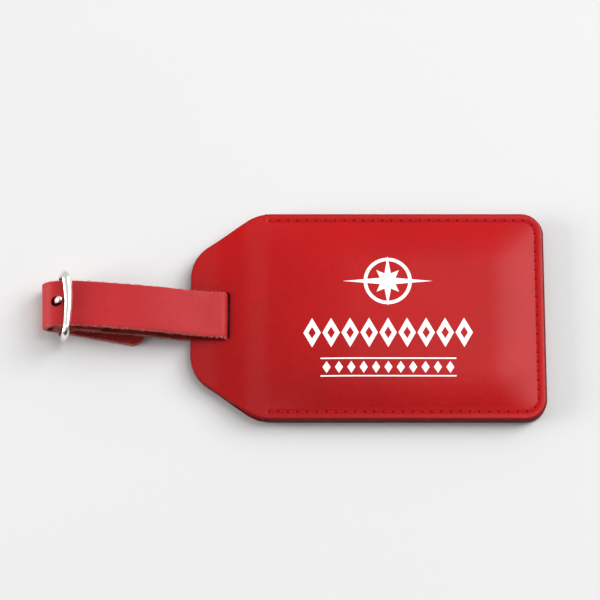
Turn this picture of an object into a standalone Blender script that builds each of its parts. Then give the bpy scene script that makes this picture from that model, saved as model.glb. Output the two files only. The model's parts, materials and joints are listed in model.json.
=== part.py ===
"""A luggage tag: a leather card holder under a padded leather flap, on a buckled leather strap.

X runs along the tag, away from the strap, Y across it and Z up. The tag lies on its holder:
z = 0 is the holder's underside, and x = 0, y = 0 is the middle of the tag's body.
The strap, its buckle and its free end are modelled in the strap's own frame, whose x = 0 is
the middle of the slot in the tag's neck and which is turned a little about Z.
"""

import math

import bmesh
import bpy
from mathutils import Matrix, Vector

MM = 0.001

# Outline of the tag
TAG_LENGTH = 110.0 * MM
TAG_WIDTH = 66.0 * MM
CORNER_RADIUS = 6.5 * MM
NECK_LENGTH = 21.0 * MM
NECK_EDGE = 37.6 * MM
NECK_CORNER_RADIUS = 12.0 * MM
SHOULDER_RADIUS = 14.0 * MM
ARC_STEPS = 6

# Layers, from the table up
LAYER_GAP = 0.25 * MM
BACK_LEATHER = 1.2 * MM
CARD_THICKNESS = 0.35 * MM
FILM_THICKNESS = 0.25 * MM
FRAME_LEATHER = 0.55 * MM
LEAF_GAP = 0.3 * MM
LINING_THICKNESS = 0.8 * MM
FACE_LEATHER = 1.1 * MM
PAD_RISE = 1.8 * MM

# Card pocket and its window
POCKET_START = 22.5 * MM
POCKET_BORDER = 4.0 * MM
POCKET_CLEARANCE = 1.0 * MM
CARD_LENGTH = 80.0 * MM
CARD_CORNER = 3.0 * MM
WINDOW_MARGIN_Y = 9.0 * MM
WINDOW_MARGIN_X = 9.5 * MM
WINDOW_CORNER = 4.0 * MM
FILM_LAP = 4.0 * MM
LINING_EAR = 0.7 * MM
EAR_LENGTH = 4.0 * MM

# Seams round the flap and the pocket
SEAM_INSET = 2.3 * MM
SEAM_START = 2.0 * MM
THREAD_RADIUS = 0.22 * MM
THREAD_GAP = 0.22 * MM
THREAD_DEPTH = 0.26 * MM
PAD_INSET = 3.4 * MM
PAD_SLOPE = 13.0 * MM
FOAM_INSET = 3.2 * MM
FOAM_RIM = 0.05 * MM

# Fold of the flap, and the neck that the strap lifts
FOLD_DISTANCE = 18.0 * MM
FOLD_GAP = 0.3 * MM
NECK_RISE_LENGTH = 7.0 * MM
STRAP_CLEARANCE = 0.4 * MM

# Strap
STRAP_WIDTH = 14.0 * MM
STRAP_THICKNESS = 1.4 * MM
STRAP_YAW = math.radians(-4.4)
SQUARE_LENGTH = 2.0 * MM
SQUARE_EASE = 12.0 * MM
HEEL_TURN = math.radians(6.5)
HEEL_TURN_START = 44.0 * MM
HEEL_TURN_EASE = 6.0 * MM
SLOT_DISTANCE = 11.1 * MM
SLOT_LENGTH = 2.6 * MM
SLOT_SIDE_CLEARANCE = 0.4 * MM
SLOT_STRAP_GAP = 0.4 * MM
LOWER_BEND = 1.3 * MM
UPPER_BEND = 1.6 * MM
UPPER_CLEARANCE = 0.85 * MM
NECK_APPROACH = 1.5 * MM
ARCH_RISE = 0.9 * MM
RETURN_LENGTH = 13.0 * MM
TAIL_LENGTH = 27.6 * MM
TAIL_CORNER = 3.4 * MM
TAIL_YAW = math.radians(5.9)
TAIL_SHIFT = 0.5 * MM
CURL_SAG = 0.45 * MM
TAIL_GAP = 0.45 * MM
STITCH_PITCH = 2.5 * MM
STITCH_COUNT = 4

# Buckle
HEEL_DISTANCE = 51.1 * MM
BAR_RADIUS = 1.1 * MM
FRONT_BAR_HALF_WIDTH = 1.3 * MM
FRONT_BAR_BOW = 0.8 * MM
BUCKLE_LEAN = 1.9 * MM
BUCKLE_SIDE_CLEARANCE = 1.8 * MM
BUCKLE_SHIFT = 0.4 * MM
BUCKLE_CORNER = 2.4 * MM
BAR_CLEARANCE = 0.3 * MM
FRONT_BAR_CLEARANCE = 0.6 * MM
PRONG_RADIUS = 0.65 * MM
PRONG_HALF_WIDTH = 1.1 * MM
PRONG_SHIFT = 0.6 * MM
PRONG_LEAN = 0.7 * MM
PRONG_BAR_GAP = 0.2 * MM
PRONG_SIDE_GAP = 0.5 * MM
PRONG_SLOT_GAP = 0.3 * MM
PRONG_RISE = 0.4 * MM
HOLE_LENGTH = 3.2 * MM
CURL_OFFSET = 1.05 * MM
CURL_STEPS = 14

# Heights and places that follow from the sizes above
CARD_BOTTOM = BACK_LEATHER + LAYER_GAP
FILM_BOTTOM = CARD_BOTTOM + CARD_THICKNESS + LAYER_GAP
FRAME_INNER_BOTTOM = FILM_BOTTOM + FILM_THICKNESS + LAYER_GAP
FRAME_TOP = FRAME_INNER_BOTTOM + FRAME_LEATHER
LINING_BOTTOM = FRAME_TOP + LEAF_GAP
LINING_TOP = LINING_BOTTOM + LINING_THICKNESS
FACE_BOTTOM = LINING_TOP + LAYER_GAP
FACE_TOP = FACE_BOTTOM + FACE_LEATHER
LEFT_END = -TAG_LENGTH / 2
RIGHT_END = TAG_LENGTH / 2
POCKET_MOUTH = LEFT_END + POCKET_START
FOLD_X = LEFT_END + FOLD_DISTANCE
NECK_LIFT = STRAP_THICKNESS + STRAP_CLEARANCE
NECK_TOP = NECK_LIFT + BACK_LEATHER + LAYER_GAP + FACE_LEATHER
SLOT_X = LEFT_END + SLOT_DISTANCE
STRAP_X = SLOT_X - SLOT_LENGTH / 2 + SLOT_STRAP_GAP + STRAP_THICKNESS / 2
STRAP_AXIS_Z = NECK_LIFT + BACK_LEATHER
HALF_STRAP = STRAP_THICKNESS / 2
FOLD_RADIUS = BAR_RADIUS + BAR_CLEARANCE + HALF_STRAP
LOWER_LIFTED = STRAP_THICKNESS + STRAP_CLEARANCE + HALF_STRAP
HEEL_Z = LOWER_LIFTED + FOLD_RADIUS
UPPER_START = NECK_TOP + UPPER_CLEARANCE + HALF_STRAP
UPPER_END = HEEL_Z + FOLD_RADIUS + STRAP_THICKNESS + BAR_CLEARANCE + UPPER_CLEARANCE
FRONT_BAR_X = BUCKLE_LEAN - HEEL_DISTANCE
FRONT_BAR_Z = UPPER_END + HALF_STRAP + FRONT_BAR_CLEARANCE + BAR_RADIUS
CURL_X = -HEEL_DISTANCE - CURL_OFFSET
CURL_RADIUS = (UPPER_END - HALF_STRAP) / 2
PRONG_HOOK_RADIUS = BAR_RADIUS + PRONG_BAR_GAP + PRONG_RADIUS
PRONG_X = -HEEL_DISTANCE - PRONG_HOOK_RADIUS


def clear_scene():
    for found in list(bpy.data.objects):
        bpy.data.objects.remove(found, do_unlink=True)


def finish_material(name, colour, roughness, metallic=0.0):
    made = bpy.data.materials.new(name)
    made.use_nodes = True
    shader = made.node_tree.nodes["Principled BSDF"]
    shader.inputs["Base Color"].default_value = (*colour, 1.0)
    shader.inputs["Roughness"].default_value = roughness
    shader.inputs["Metallic"].default_value = metallic
    made.diffuse_color = (*colour, 1.0)
    return made


def add_object(name, points, faces, material=None, pivot=None):
    """A mesh object of these points and faces, hung on the empty that it turns or slides on."""
    mesh = bpy.data.meshes.new(name)
    mesh.from_pydata([tuple(point) for point in points], [], faces)
    shell = bmesh.new()
    shell.from_mesh(mesh)
    bmesh.ops.recalc_face_normals(shell, faces=shell.faces)
    shell.to_mesh(mesh)
    shell.free()
    mesh.shade_smooth()
    mesh.set_sharp_from_angle(angle=math.radians(35.0))
    made = bpy.data.objects.new(name, mesh)
    bpy.context.scene.collection.objects.link(made)
    if material is not None:
        mesh.materials.append(material)
    if pivot is not None:
        made.parent = pivot
        made.matrix_parent_inverse = pivot.matrix_basis.inverted()
    return made


def add_pivot(name, location, turn=0.0, parent=None):
    made = bpy.data.objects.new(name, None)
    made.empty_display_size = 5.0 * MM
    made.location = location
    made.rotation_euler = (0.0, 0.0, turn)
    made.parent = parent
    bpy.context.scene.collection.objects.link(made)
    return made


def cut(target, cutter):
    cutter.hide_render = True
    cutter.display_type = "WIRE"
    groove = target.modifiers.new(cutter.name, "BOOLEAN")
    groove.operation = "DIFFERENCE"
    groove.solver = "EXACT"
    groove.object = cutter


# Outlines


def fillet(before, corner, after, radius, steps=ARC_STEPS):
    """The points of the arc that rounds a corner between two straight runs."""
    before, corner, after = Vector(before), Vector(corner), Vector(after)
    inward = (before - corner).normalized()
    outward = (after - corner).normalized()
    half_angle = inward.angle(outward) / 2
    start = corner + inward * (radius / math.tan(half_angle))
    centre = corner + (inward + outward).normalized() * (radius / math.sin(half_angle))
    swing = (math.pi - 2 * half_angle) / steps
    if (corner - before).cross(after - corner) < 0:
        swing = -swing
    spoke = start - centre
    return [centre + Matrix.Rotation(swing * step, 2) @ spoke for step in range(steps + 1)]


def upper_outline():
    """The upper half of the tag's outline, from the neck's end to the far end."""
    half = TAG_WIDTH / 2
    corners = [
        (LEFT_END, 0.0),
        (LEFT_END, NECK_EDGE / 2),
        (LEFT_END + NECK_LENGTH, half),
        (RIGHT_END, half),
        (RIGHT_END, 0.0),
    ]
    radii = (NECK_CORNER_RADIUS, SHOULDER_RADIUS, CORNER_RADIUS)
    points = []
    for index, radius in enumerate(radii):
        points += fillet(*corners[index : index + 3], radius)
    return points


OUTLINE = upper_outline()


def half_width(x):
    """Half of the tag's width at x, on the outline."""
    for left, right in zip(OUTLINE, OUTLINE[1:]):
        if x <= right.x and right.x > left.x:
            share = max(0.0, (x - left.x) / (right.x - left.x))
            return left.y + (right.y - left.y) * share
    return OUTLINE[-1].y


def stations(start, end, extra=()):
    """The x of each cross-section between start and end: the outline's own points and some more."""
    found = {start, end}
    found |= {point.x for point in OUTLINE if start < point.x < end}
    found |= {x for x in extra if start < x < end}
    kept = []
    for x in sorted(found):
        if not kept or x - kept[-1] > 0.15 * MM:
            kept.append(x)
    return kept


def evenly(start, end, count):
    return [start + (end - start) * index / count for index in range(count + 1)]


def smooth_step(share):
    share = min(1.0, max(0.0, share))
    return share * share * (3 - 2 * share)


def neck_share(x):
    """How far the neck has risen over the strap at x, from 0 at the fold to 1."""
    return smooth_step((FOLD_X - FOLD_GAP - x) / NECK_RISE_LENGTH)


def pad_share(x, y):
    """Height of the padded middle of the flap at (x, y), as a share of its full rise."""
    left = POCKET_MOUTH + SEAM_START
    right = RIGHT_END - PAD_INSET
    side = half_width(x) - PAD_INSET
    rise_x = smooth_step((x - left) / PAD_SLOPE) * smooth_step((right - x) / PAD_SLOPE)
    rise_y = smooth_step((side - abs(y)) / PAD_SLOPE)
    return math.sqrt(rise_x * rise_y)


# Solids


def leaf(name, cuts, columns, half, bottom, top, material, pivot=None):
    """A sheet lofted along X: one cross-section for each x in cuts, with points at shares of its half width."""
    width = len(columns)
    points = []
    for height in (bottom, top):
        for x in cuts:
            for share in columns:
                y = share * half(x)
                points.append((x, y, height(x, y)))
    layer = len(cuts) * width

    def at(side, row, column):
        return side * layer + row * width + column

    faces = []
    for side in (0, 1):
        for row in range(len(cuts) - 1):
            for column in range(width - 1):
                faces.append(
                    (
                        at(side, row, column),
                        at(side, row + 1, column),
                        at(side, row + 1, column + 1),
                        at(side, row, column + 1),
                    )
                )
    for row in range(len(cuts) - 1):
        for column in (0, width - 1):
            faces.append(
                (at(0, row, column), at(0, row + 1, column), at(1, row + 1, column), at(1, row, column))
            )
    for column in range(width - 1):
        for row in (0, len(cuts) - 1):
            faces.append(
                (at(0, row, column), at(0, row, column + 1), at(1, row, column + 1), at(1, row, column))
            )
    return add_object(name, points, faces, material, pivot)


def plate(name, outline, bottom, top, material=None, pivot=None):
    """A flat sheet: an outline in plan, with thickness."""
    count = len(outline)
    points = [(point[0], point[1], bottom) for point in outline]
    points += [(point[0], point[1], top) for point in outline]
    faces = [tuple(range(count)), tuple(range(count, 2 * count))]
    for index in range(count):
        following = (index + 1) % count
        faces.append((index, following, count + following, count + index))
    return add_object(name, points, faces, material, pivot)


def rounded_rectangle(left, right, half, radius, steps=4):
    corners = [(left, -half), (right, -half), (right, half), (left, half)]
    outline = []
    for index in range(4):
        before, corner, after = (corners[(index + turn) % 4] for turn in (-1, 0, 1))
        outline += fillet(before, corner, after, radius, steps)
    return outline


def skin(rings, closed):
    """Faces round a run of rings of points, capped at both ends or closed on itself."""
    sides = len(rings[0])
    points = [point for ring in rings for point in ring]
    faces = []
    count = len(rings)
    for row in range(count if closed else count - 1):
        following = (row + 1) % count
        for side in range(sides):
            turn = (side + 1) % sides
            faces.append(
                (row * sides + side, following * sides + side, following * sides + turn, row * sides + turn)
            )
    if not closed:
        faces.append(tuple(range(sides)))
        faces.append(tuple(range((count - 1) * sides, count * sides)))
    return points, faces


def tangent_at(path, index, closed):
    before = path[index - 1] if closed or index > 0 else path[index]
    after = path[(index + 1) % len(path)] if closed or index < len(path) - 1 else path[index]
    into = (path[index] - before).normalized()
    out_of = (after - path[index]).normalized()
    return into, out_of


def tube(name, path, radii, normal, material=None, pivot=None, sides=8, closed=False):
    """A round or oval bar along a path in one plane, whose normal is given. radii holds, for each
    point, the radius in the plane and the radius along the normal."""
    path = [Vector(point) for point in path]
    normal = Vector(normal).normalized()
    rings = []
    for index, point in enumerate(path):
        into, out_of = tangent_at(path, index, closed)
        along = (into + out_of).normalized()
        mitre = 1.0
        if into.length and out_of.length:
            mitre = 1 / max(0.5, math.cos(into.angle(out_of) / 2))
        across = along.cross(normal)
        in_plane, along_normal = radii[index] if isinstance(radii, list) else (radii, radii)
        ring = []
        for side in range(sides):
            angle = 2 * math.pi * (side + 0.5) / sides
            ring.append(
                point
                + across * (math.cos(angle) * in_plane * mitre)
                + normal * (math.sin(angle) * along_normal)
            )
        rings.append(ring)
    points, faces = skin(rings, closed)
    return add_object(name, points, faces, material, pivot)


def band(name, path, half_widths, thickness, material, pivot=None, lies=None):
    """A flat strap along a path that bends up and down: a rectangle at each point, square to the path.
    lies holds, for each point, how far the strap is turned and shifted in plan."""
    path = [Vector(point) for point in path]
    rings = []
    for index, point in enumerate(path):
        into, out_of = tangent_at(path, index, False)
        along = (into + out_of).normalized()
        upright = Vector((-along.z, 0.0, along.x)).normalized()
        across = upright.cross(along).normalized()
        upright = along.cross(across)
        half = half_widths[index] if isinstance(half_widths, list) else half_widths
        rings.append(
            [
                point + across * (half * turn_y) + upright * (thickness / 2 * turn_z)
                for turn_y, turn_z in ((-1, -1), (1, -1), (1, 1), (-1, 1))
            ]
        )
    if lies is not None:
        rings = [[laid(point, lie) for point in ring] for ring, lie in zip(rings, lies)]
    points, faces = skin(rings, False)
    return add_object(name, points, faces, material, pivot)


def arc(centre_x, centre_z, radius, start, end, steps):
    """Points of an arc in the strap's side view, with angles in degrees from +X towards +Z."""
    points = []
    for step in range(steps + 1):
        angle = math.radians(start + (end - start) * step / steps)
        points.append(
            Vector((centre_x + radius * math.cos(angle), 0.0, centre_z + radius * math.sin(angle)))
        )
    return points


def through(points, steps=4):
    """A smooth run through points: Catmull-Rom, leaving out the two outermost."""
    points = [Vector(point) for point in points]
    run = []
    for first, start, end, last in zip(points, points[1:], points[2:], points[3:]):
        for step in range(steps):
            share = step / steps
            run.append(
                0.5
                * (
                    2 * start
                    + (end - first) * share
                    + (2 * first - 5 * start + 4 * end - last) * share**2
                    + (3 * start - first - 3 * end + last) * share**3
                )
            )
    run.append(points[-2])
    return run


# Seams


def seam_path(height):
    """The three-sided seam: along one long side, across the far end and back along the other."""
    start = POCKET_MOUTH + SEAM_START
    end = RIGHT_END - SEAM_INSET
    side = TAG_WIDTH / 2 - SEAM_INSET
    corners = [(start, -side), (end, -side), (end, side), (start, side)]
    radius = CORNER_RADIUS - SEAM_INSET
    plan = [Vector(corners[0])]
    plan += fillet(*corners[:3], radius)
    plan += fillet(*corners[1:], radius)
    plan.append(Vector(corners[3]))
    return [Vector((point.x, point.y, height)) for point in plan]


def longer(path, amount):
    """The path with both of its ends drawn out, so that what it cuts is longer than its thread."""
    start = path[0] + (path[0] - path[1]).normalized() * amount
    end = path[-1] + (path[-1] - path[-2]).normalized() * amount
    return [start, *path[1:-1], end]


def sew(name, target, path, normal, material, pivot=None):
    """A thread sunk in a groove of its own in the leather."""
    clear = longer(path, THREAD_GAP)
    groove = tube(name + "_groove", clear, THREAD_RADIUS + THREAD_GAP, normal, pivot=pivot, sides=8)
    cut(target, groove)
    tube(name, path, THREAD_RADIUS, normal, material, pivot, sides=6)


def add_seam(name, target, height, material, pivot=None):
    sew(name, target, seam_path(height), (0, 0, 1), material, pivot)


# Holder


def add_slot_cutter(name, pivot=None):
    half = STRAP_WIDTH / 2 + SLOT_SIDE_CLEARANCE
    outline = [
        (SLOT_X - SLOT_LENGTH / 2, -half),
        (SLOT_X + SLOT_LENGTH / 2, -half),
        (SLOT_X + SLOT_LENGTH / 2, half),
        (SLOT_X - SLOT_LENGTH / 2, half),
    ]
    return plate(name, outline, -1.0 * MM, NECK_TOP + 2.0 * MM, pivot=pivot)


def add_holder_back(material, thread):
    def lift(x, _y):
        return NECK_LIFT * neck_share(x)

    rise = evenly(FOLD_X - FOLD_GAP - NECK_RISE_LENGTH, FOLD_X - FOLD_GAP, 6)
    made = leaf(
        "holder_back",
        stations(LEFT_END, RIGHT_END, rise),
        (-1.0, 1.0),
        half_width,
        lift,
        lambda x, y: lift(x, y) + BACK_LEATHER,
        material,
    )
    cut(made, add_slot_cutter("holder_slot"))
    add_seam("holder_bobbin_thread", made, THREAD_DEPTH, thread)


def add_window_frame(material, thread):
    made = leaf(
        "window_frame",
        stations(POCKET_MOUTH, RIGHT_END),
        (-1.0, 1.0),
        half_width,
        lambda x, y: CARD_BOTTOM,
        lambda x, y: FRAME_TOP,
        material,
    )
    pocket_half = TAG_WIDTH / 2 - POCKET_BORDER
    pocket_end = RIGHT_END - POCKET_BORDER
    pocket = rounded_rectangle(
        2 * POCKET_MOUTH, pocket_end, pocket_half, CARD_CORNER - POCKET_CLEARANCE / 2
    )
    cut(made, plate("pocket_hollow", pocket, -1.0 * MM, FRAME_INNER_BOTTOM))
    window = rounded_rectangle(
        POCKET_MOUTH + WINDOW_MARGIN_X,
        RIGHT_END - WINDOW_MARGIN_X,
        TAG_WIDTH / 2 - WINDOW_MARGIN_Y,
        WINDOW_CORNER,
    )
    cut(made, plate("window_hole", window, 0.0, FRAME_TOP + 1.0 * MM))
    add_seam("holder_needle_thread", made, FRAME_TOP - THREAD_DEPTH, thread)


def add_id_window(material):
    outline = rounded_rectangle(
        POCKET_MOUTH + WINDOW_MARGIN_X - FILM_LAP,
        RIGHT_END - WINDOW_MARGIN_X + FILM_LAP,
        TAG_WIDTH / 2 - WINDOW_MARGIN_Y + FILM_LAP,
        WINDOW_CORNER,
    )
    plate("id_window", outline, FILM_BOTTOM, FILM_BOTTOM + FILM_THICKNESS, material)


def add_address_card(material, pivot):
    right = RIGHT_END - POCKET_BORDER - POCKET_CLEARANCE
    half = TAG_WIDTH / 2 - POCKET_BORDER - POCKET_CLEARANCE
    outline = rounded_rectangle(right - CARD_LENGTH, right, half, CARD_CORNER)
    plate("address_card", outline, CARD_BOTTOM, CARD_BOTTOM + CARD_THICKNESS, material, pivot)


# Flap


def flap_bottom(x, y):
    """Underside of the flap's leather: flat at its rim, domed over the foam, lower on the neck."""
    fall = FACE_BOTTOM - (NECK_TOP - FACE_LEATHER)
    return FACE_BOTTOM - fall * neck_share(x) + PAD_RISE * pad_share(x, y)


def flap_top(x, y):
    return flap_bottom(x, y) + FACE_LEATHER


def add_flap_neck(material):
    rise = evenly(FOLD_X - FOLD_GAP - NECK_RISE_LENGTH, FOLD_X - FOLD_GAP, 6)
    made = leaf(
        "flap_neck",
        stations(LEFT_END, FOLD_X - FOLD_GAP, rise),
        (-1.0, 1.0),
        half_width,
        flap_bottom,
        flap_top,
        material,
    )
    cut(made, add_slot_cutter("flap_slot"))


def add_flap_face(material, thread, pivot):
    columns = [0.0]
    for share in (0.22, 0.42, 0.58, 0.7, 0.8, 0.87, 1.0):
        columns = [-share, *columns, share]
    slopes = evenly(POCKET_MOUTH + SEAM_START, POCKET_MOUTH + SEAM_START + PAD_SLOPE, 5)
    slopes += evenly(RIGHT_END - PAD_INSET - PAD_SLOPE, RIGHT_END - PAD_INSET, 5)
    made = leaf(
        "flap_face",
        stations(FOLD_X, RIGHT_END, slopes + [0.0]),
        columns,
        half_width,
        flap_bottom,
        flap_top,
        material,
        pivot,
    )
    add_seam("flap_needle_thread", made, FACE_TOP - THREAD_DEPTH, thread, pivot)


def add_flap_foam(material, pivot):
    """Foam under the dome, whose top keeps one layer gap below the leather."""
    left = POCKET_MOUTH + SEAM_START + FOAM_INSET
    right = RIGHT_END - PAD_INSET - FOAM_INSET
    steps = evenly(left, left + PAD_SLOPE, 4) + evenly(right - PAD_SLOPE, right, 4)
    columns = [0.0]
    for share in (0.35, 0.6, 0.8, 1.0):
        columns = [-share, *columns, share]
    floor = LINING_TOP + LAYER_GAP

    def foam_half(x):
        return half_width(x) - PAD_INSET - FOAM_INSET

    def foam_top(x, y):
        hollow = flap_bottom(x, y) - FACE_BOTTOM
        return floor + max(FOAM_RIM, hollow - 1.2 * LAYER_GAP)

    leaf(
        "flap_foam",
        stations(left, right, steps + [0.0]),
        columns,
        foam_half,
        lambda x, y: floor,
        foam_top,
        material,
        pivot,
    )


def add_flap_lining(material, thread, pivot):
    """The lining, whose square corners at the neck stand a little outside the leather."""

    def lining_half(x):
        share = 1 - min(1.0, (x - POCKET_MOUTH) / EAR_LENGTH)
        return half_width(max(x, POCKET_MOUTH + EAR_LENGTH)) + LINING_EAR * share**2

    ear = evenly(POCKET_MOUTH, POCKET_MOUTH + EAR_LENGTH, 3)
    made = leaf(
        "flap_lining",
        stations(POCKET_MOUTH, RIGHT_END, ear),
        (-1.0, 1.0),
        lining_half,
        lambda x, y: LINING_BOTTOM,
        lambda x, y: LINING_TOP,
        material,
        pivot,
    )
    add_seam("flap_bobbin_thread", made, LINING_BOTTOM + THREAD_DEPTH, thread, pivot)


# Strap, in its own frame


def lie_at(x):
    """(turn, shift) in plan of the strap at x: it lies square to the slot near the slot, and the
    buckle's end is turned the same way. The shift is the run of the turn, so the strap stays whole."""
    reach = (-x - SQUARE_LENGTH) / SQUARE_EASE
    eased = min(1.0, max(0.0, reach))
    square = 1 - smooth_step(eased)
    square_run = SQUARE_EASE * (0.5 - eased + eased**3 - eased**4 / 2) + max(0.0, x + SQUARE_LENGTH)
    reach = (-x - HEEL_TURN_START) / HEEL_TURN_EASE
    eased = min(1.0, max(0.0, reach))
    heel = smooth_step(eased)
    heel_run = HEEL_TURN_EASE * (eased**3 - eased**4 / 2 + max(0.0, reach - 1))
    slot_turn = math.tan(-STRAP_YAW)
    heel_turn = math.tan(HEEL_TURN)
    return slot_turn * square + heel_turn * heel, slot_turn * square_run - heel_turn * heel_run


def curl_lie(share):
    """(turn, shift) in plan this share of the way round the curl, from the buckle's end to the tail."""
    start_turn, start_shift = lie_at(CURL_X)
    end_turn = -math.tan(TAIL_YAW)
    run = math.pi * CURL_RADIUS
    eased = smooth_step((share - 0.45) / 0.55)
    shift = start_shift * (2 * share**3 - 3 * share**2 + 1)
    shift -= start_turn * run * (share**3 - 2 * share**2 + share)
    shift -= TAIL_SHIFT * (3 * share**2 - 2 * share**3)
    shift += end_turn * run * (share**3 - share**2)
    shift -= CURL_SAG * math.sin(math.pi * share) ** 2
    return start_turn * (1 - eased) + end_turn * eased, shift


def laid(point, lie=None):
    """A point of the straight strap's frame, moved to where the strap lies."""
    turn, shift = lie or lie_at(point[0])
    return Vector((point[0] - turn * point[1], point[1] + shift, point[2]))


def strap_route():
    """The strap's middle line in side view, and how it lies in plan: its folded end, round the heel bar, under the neck, up through the
    slot, back over the neck, under the front bar and round the curl at the strap's end."""
    return_z = LOWER_LIFTED + STRAP_THICKNESS + LAYER_GAP
    fold = arc(-HEEL_DISTANCE, HEEL_Z, FOLD_RADIUS, 60.0, 270.0, 12)
    end_x = RETURN_LENGTH - HEEL_DISTANCE
    folded_end = through(
        [
            (end_x + 3.0 * MM, 0.0, return_z),
            (end_x, 0.0, return_z),
            (end_x - 6.0 * MM, 0.0, return_z + 0.03 * MM),
            (fold[0].x + 2.2 * MM, 0.0, fold[0].z - 1.25 * MM),
            fold[0],
            fold[1],
        ],
        3,
    )
    tail_end = CURL_X + TAIL_LENGTH
    neck_end = LEFT_END - STRAP_X
    lower = []
    for step in range(9):
        x = tail_end + (neck_end - NECK_APPROACH - tail_end) * step / 8
        fall = (LOWER_LIFTED - HALF_STRAP) * smooth_step(step / 8)
        lower.append(Vector((x, 0.0, LOWER_LIFTED - fall)))
    up = arc(-LOWER_BEND, HALF_STRAP + LOWER_BEND, LOWER_BEND, -90.0, 0.0, 4)
    over = arc(-UPPER_BEND, UPPER_START - UPPER_BEND, UPPER_BEND, 0.0, 78.0, 4)
    rise = UPPER_END - UPPER_START
    upper = through(
        [
            over[-2],
            over[-1],
            (-6.0 * MM, 0.0, UPPER_START + 0.26 * rise),
            (0.28 * CURL_X, 0.0, UPPER_START + 0.66 * rise + 0.4 * ARCH_RISE),
            (0.48 * CURL_X, 0.0, UPPER_START + 0.93 * rise + 0.75 * ARCH_RISE),
            (0.68 * CURL_X, 0.0, UPPER_END + 0.75 * ARCH_RISE),
            (0.86 * CURL_X, 0.0, UPPER_END + 0.3 * ARCH_RISE),
            (CURL_X, 0.0, UPPER_END),
            (CURL_X - 2.0 * MM, 0.0, UPPER_END - 0.5 * MM),
        ],
        4,
    )
    route = folded_end[:-1] + fold + lower + up + over[:-1] + upper[:-1]
    lies = [lie_at(point.x) for point in route]
    curl = arc(CURL_X, HALF_STRAP + CURL_RADIUS, CURL_RADIUS, 90.0, 270.0, CURL_STEPS)
    lies += [curl_lie(step / CURL_STEPS) for step in range(CURL_STEPS + 1)]
    return route + curl, lies


def add_strap(material, thread, pivot):
    route, lies = strap_route()
    made = band("strap", route, STRAP_WIDTH / 2, STRAP_THICKNESS, material, pivot, lies)
    clear_radius = max(PRONG_HOOK_RADIUS + PRONG_RADIUS, FOLD_RADIUS + HALF_STRAP) + PRONG_SLOT_GAP
    half_slot = PRONG_HALF_WIDTH + PRONG_SIDE_GAP
    ring = arc(-HEEL_DISTANCE, HEEL_Z, clear_radius, 0.0, 345.0, 23)
    sides = []
    for y in (PRONG_SHIFT - half_slot, PRONG_SHIFT + half_slot):
        sides.append([laid(point + Vector((0, y, 0))) for point in ring])
    cut(made, add_object("prong_slot", *skin(sides, False), pivot=pivot))
    middle = PRONG_X + PRONG_LEAN
    hole = []
    for point in rounded_rectangle(
        middle - HOLE_LENGTH / 2, middle + HOLE_LENGTH / 2, half_slot, 0.48 * HOLE_LENGTH
    ):
        hole.append(laid((point[0], point[1] + PRONG_SHIFT, 0.0)).xy)
    cut(made, plate("prong_hole", hole, UPPER_END - 2.0 * MM, UPPER_END + 2.0 * MM, pivot=pivot))
    sew("strap_thread", made, strap_stitches(), (1, 0, 0), thread, pivot)


def strap_stitches():
    """A running stitch across the strap that holds its folded end down."""
    x = RETURN_LENGTH - HEEL_DISTANCE - 2.5 * MM
    low = LOWER_LIFTED - HALF_STRAP + THREAD_DEPTH
    high = LOWER_LIFTED + STRAP_THICKNESS + LAYER_GAP + HALF_STRAP - THREAD_DEPTH
    width = STITCH_PITCH * STITCH_COUNT
    route = []
    for index in range(STITCH_COUNT + 1):
        y = STITCH_PITCH * index - width / 2
        pair = [Vector((x, y, low)), Vector((x, y, high))]
        route += pair if index % 2 == 0 else pair[::-1]
    return [laid(point) for point in route]


def add_strap_tail(material, pivot):
    direction = Vector((math.cos(TAIL_YAW), -math.sin(TAIL_YAW), 0.0))
    start = Vector((CURL_X, -TAIL_SHIFT, HALF_STRAP)) + direction * TAIL_GAP
    length = TAIL_LENGTH - TAIL_GAP
    turns = [math.pi / 2 * step / 6 for step in range(7)]
    distances = [0.0, length / 2] + [length - TAIL_CORNER * (1 - math.sin(turn)) for turn in turns]
    path = [start + direction * distance for distance in distances]
    half_widths = [STRAP_WIDTH / 2, STRAP_WIDTH / 2]
    half_widths += [STRAP_WIDTH / 2 - TAIL_CORNER * (1 - math.cos(turn)) for turn in turns]
    band("strap_tail", path, half_widths, STRAP_THICKNESS, material, pivot)


# Buckle, in the strap's frame


def buckle_outline(height, half):
    """The loop's middle line, with steps along the front bar for its bow."""
    outline = [Vector(point) for point in rounded_rectangle(0.0, height, half, BUCKLE_CORNER, 5)]
    bar = [point for point in outline if abs(point.x - height) < 1e-7]
    first = min(outline.index(point) for point in bar)
    start, end = outline[first], outline[first + 1]
    steps = [start.lerp(end, step / 6) for step in range(1, 6)]
    return outline[: first + 1] + steps + outline[first + 1 :]


def add_buckle_frame(material, pivot):
    """A rounded loop standing on its heel bar, with a broader front bar that bows outwards."""
    half = STRAP_WIDTH / 2 + BUCKLE_SIDE_CLEARANCE + BAR_RADIUS
    lean = Vector((BUCKLE_LEAN, 0.0, FRONT_BAR_Z - HEEL_Z))
    height = lean.length
    up = lean.normalized()
    foot = Vector((-HEEL_DISTANCE, 0.0, HEEL_Z))
    path = []
    radii = []
    for point in buckle_outline(height, half):
        share = smooth_step(point[0] / height)
        bow = FRONT_BAR_BOW * share * math.cos(0.5 * math.pi * point[1] / half)
        place = foot + up * point[0] + Vector((bow, point[1] - BUCKLE_SHIFT, 0.0))
        path.append(laid(place))
        radii.append((BAR_RADIUS, BAR_RADIUS + (FRONT_BAR_HALF_WIDTH - BAR_RADIUS) * share))
    across = laid(foot + Vector((0.0, 1.0 * MM, 0.0))) - laid(foot)
    tube("buckle_frame", path, radii, up.cross(across), material, pivot, sides=12, closed=True)


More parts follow.
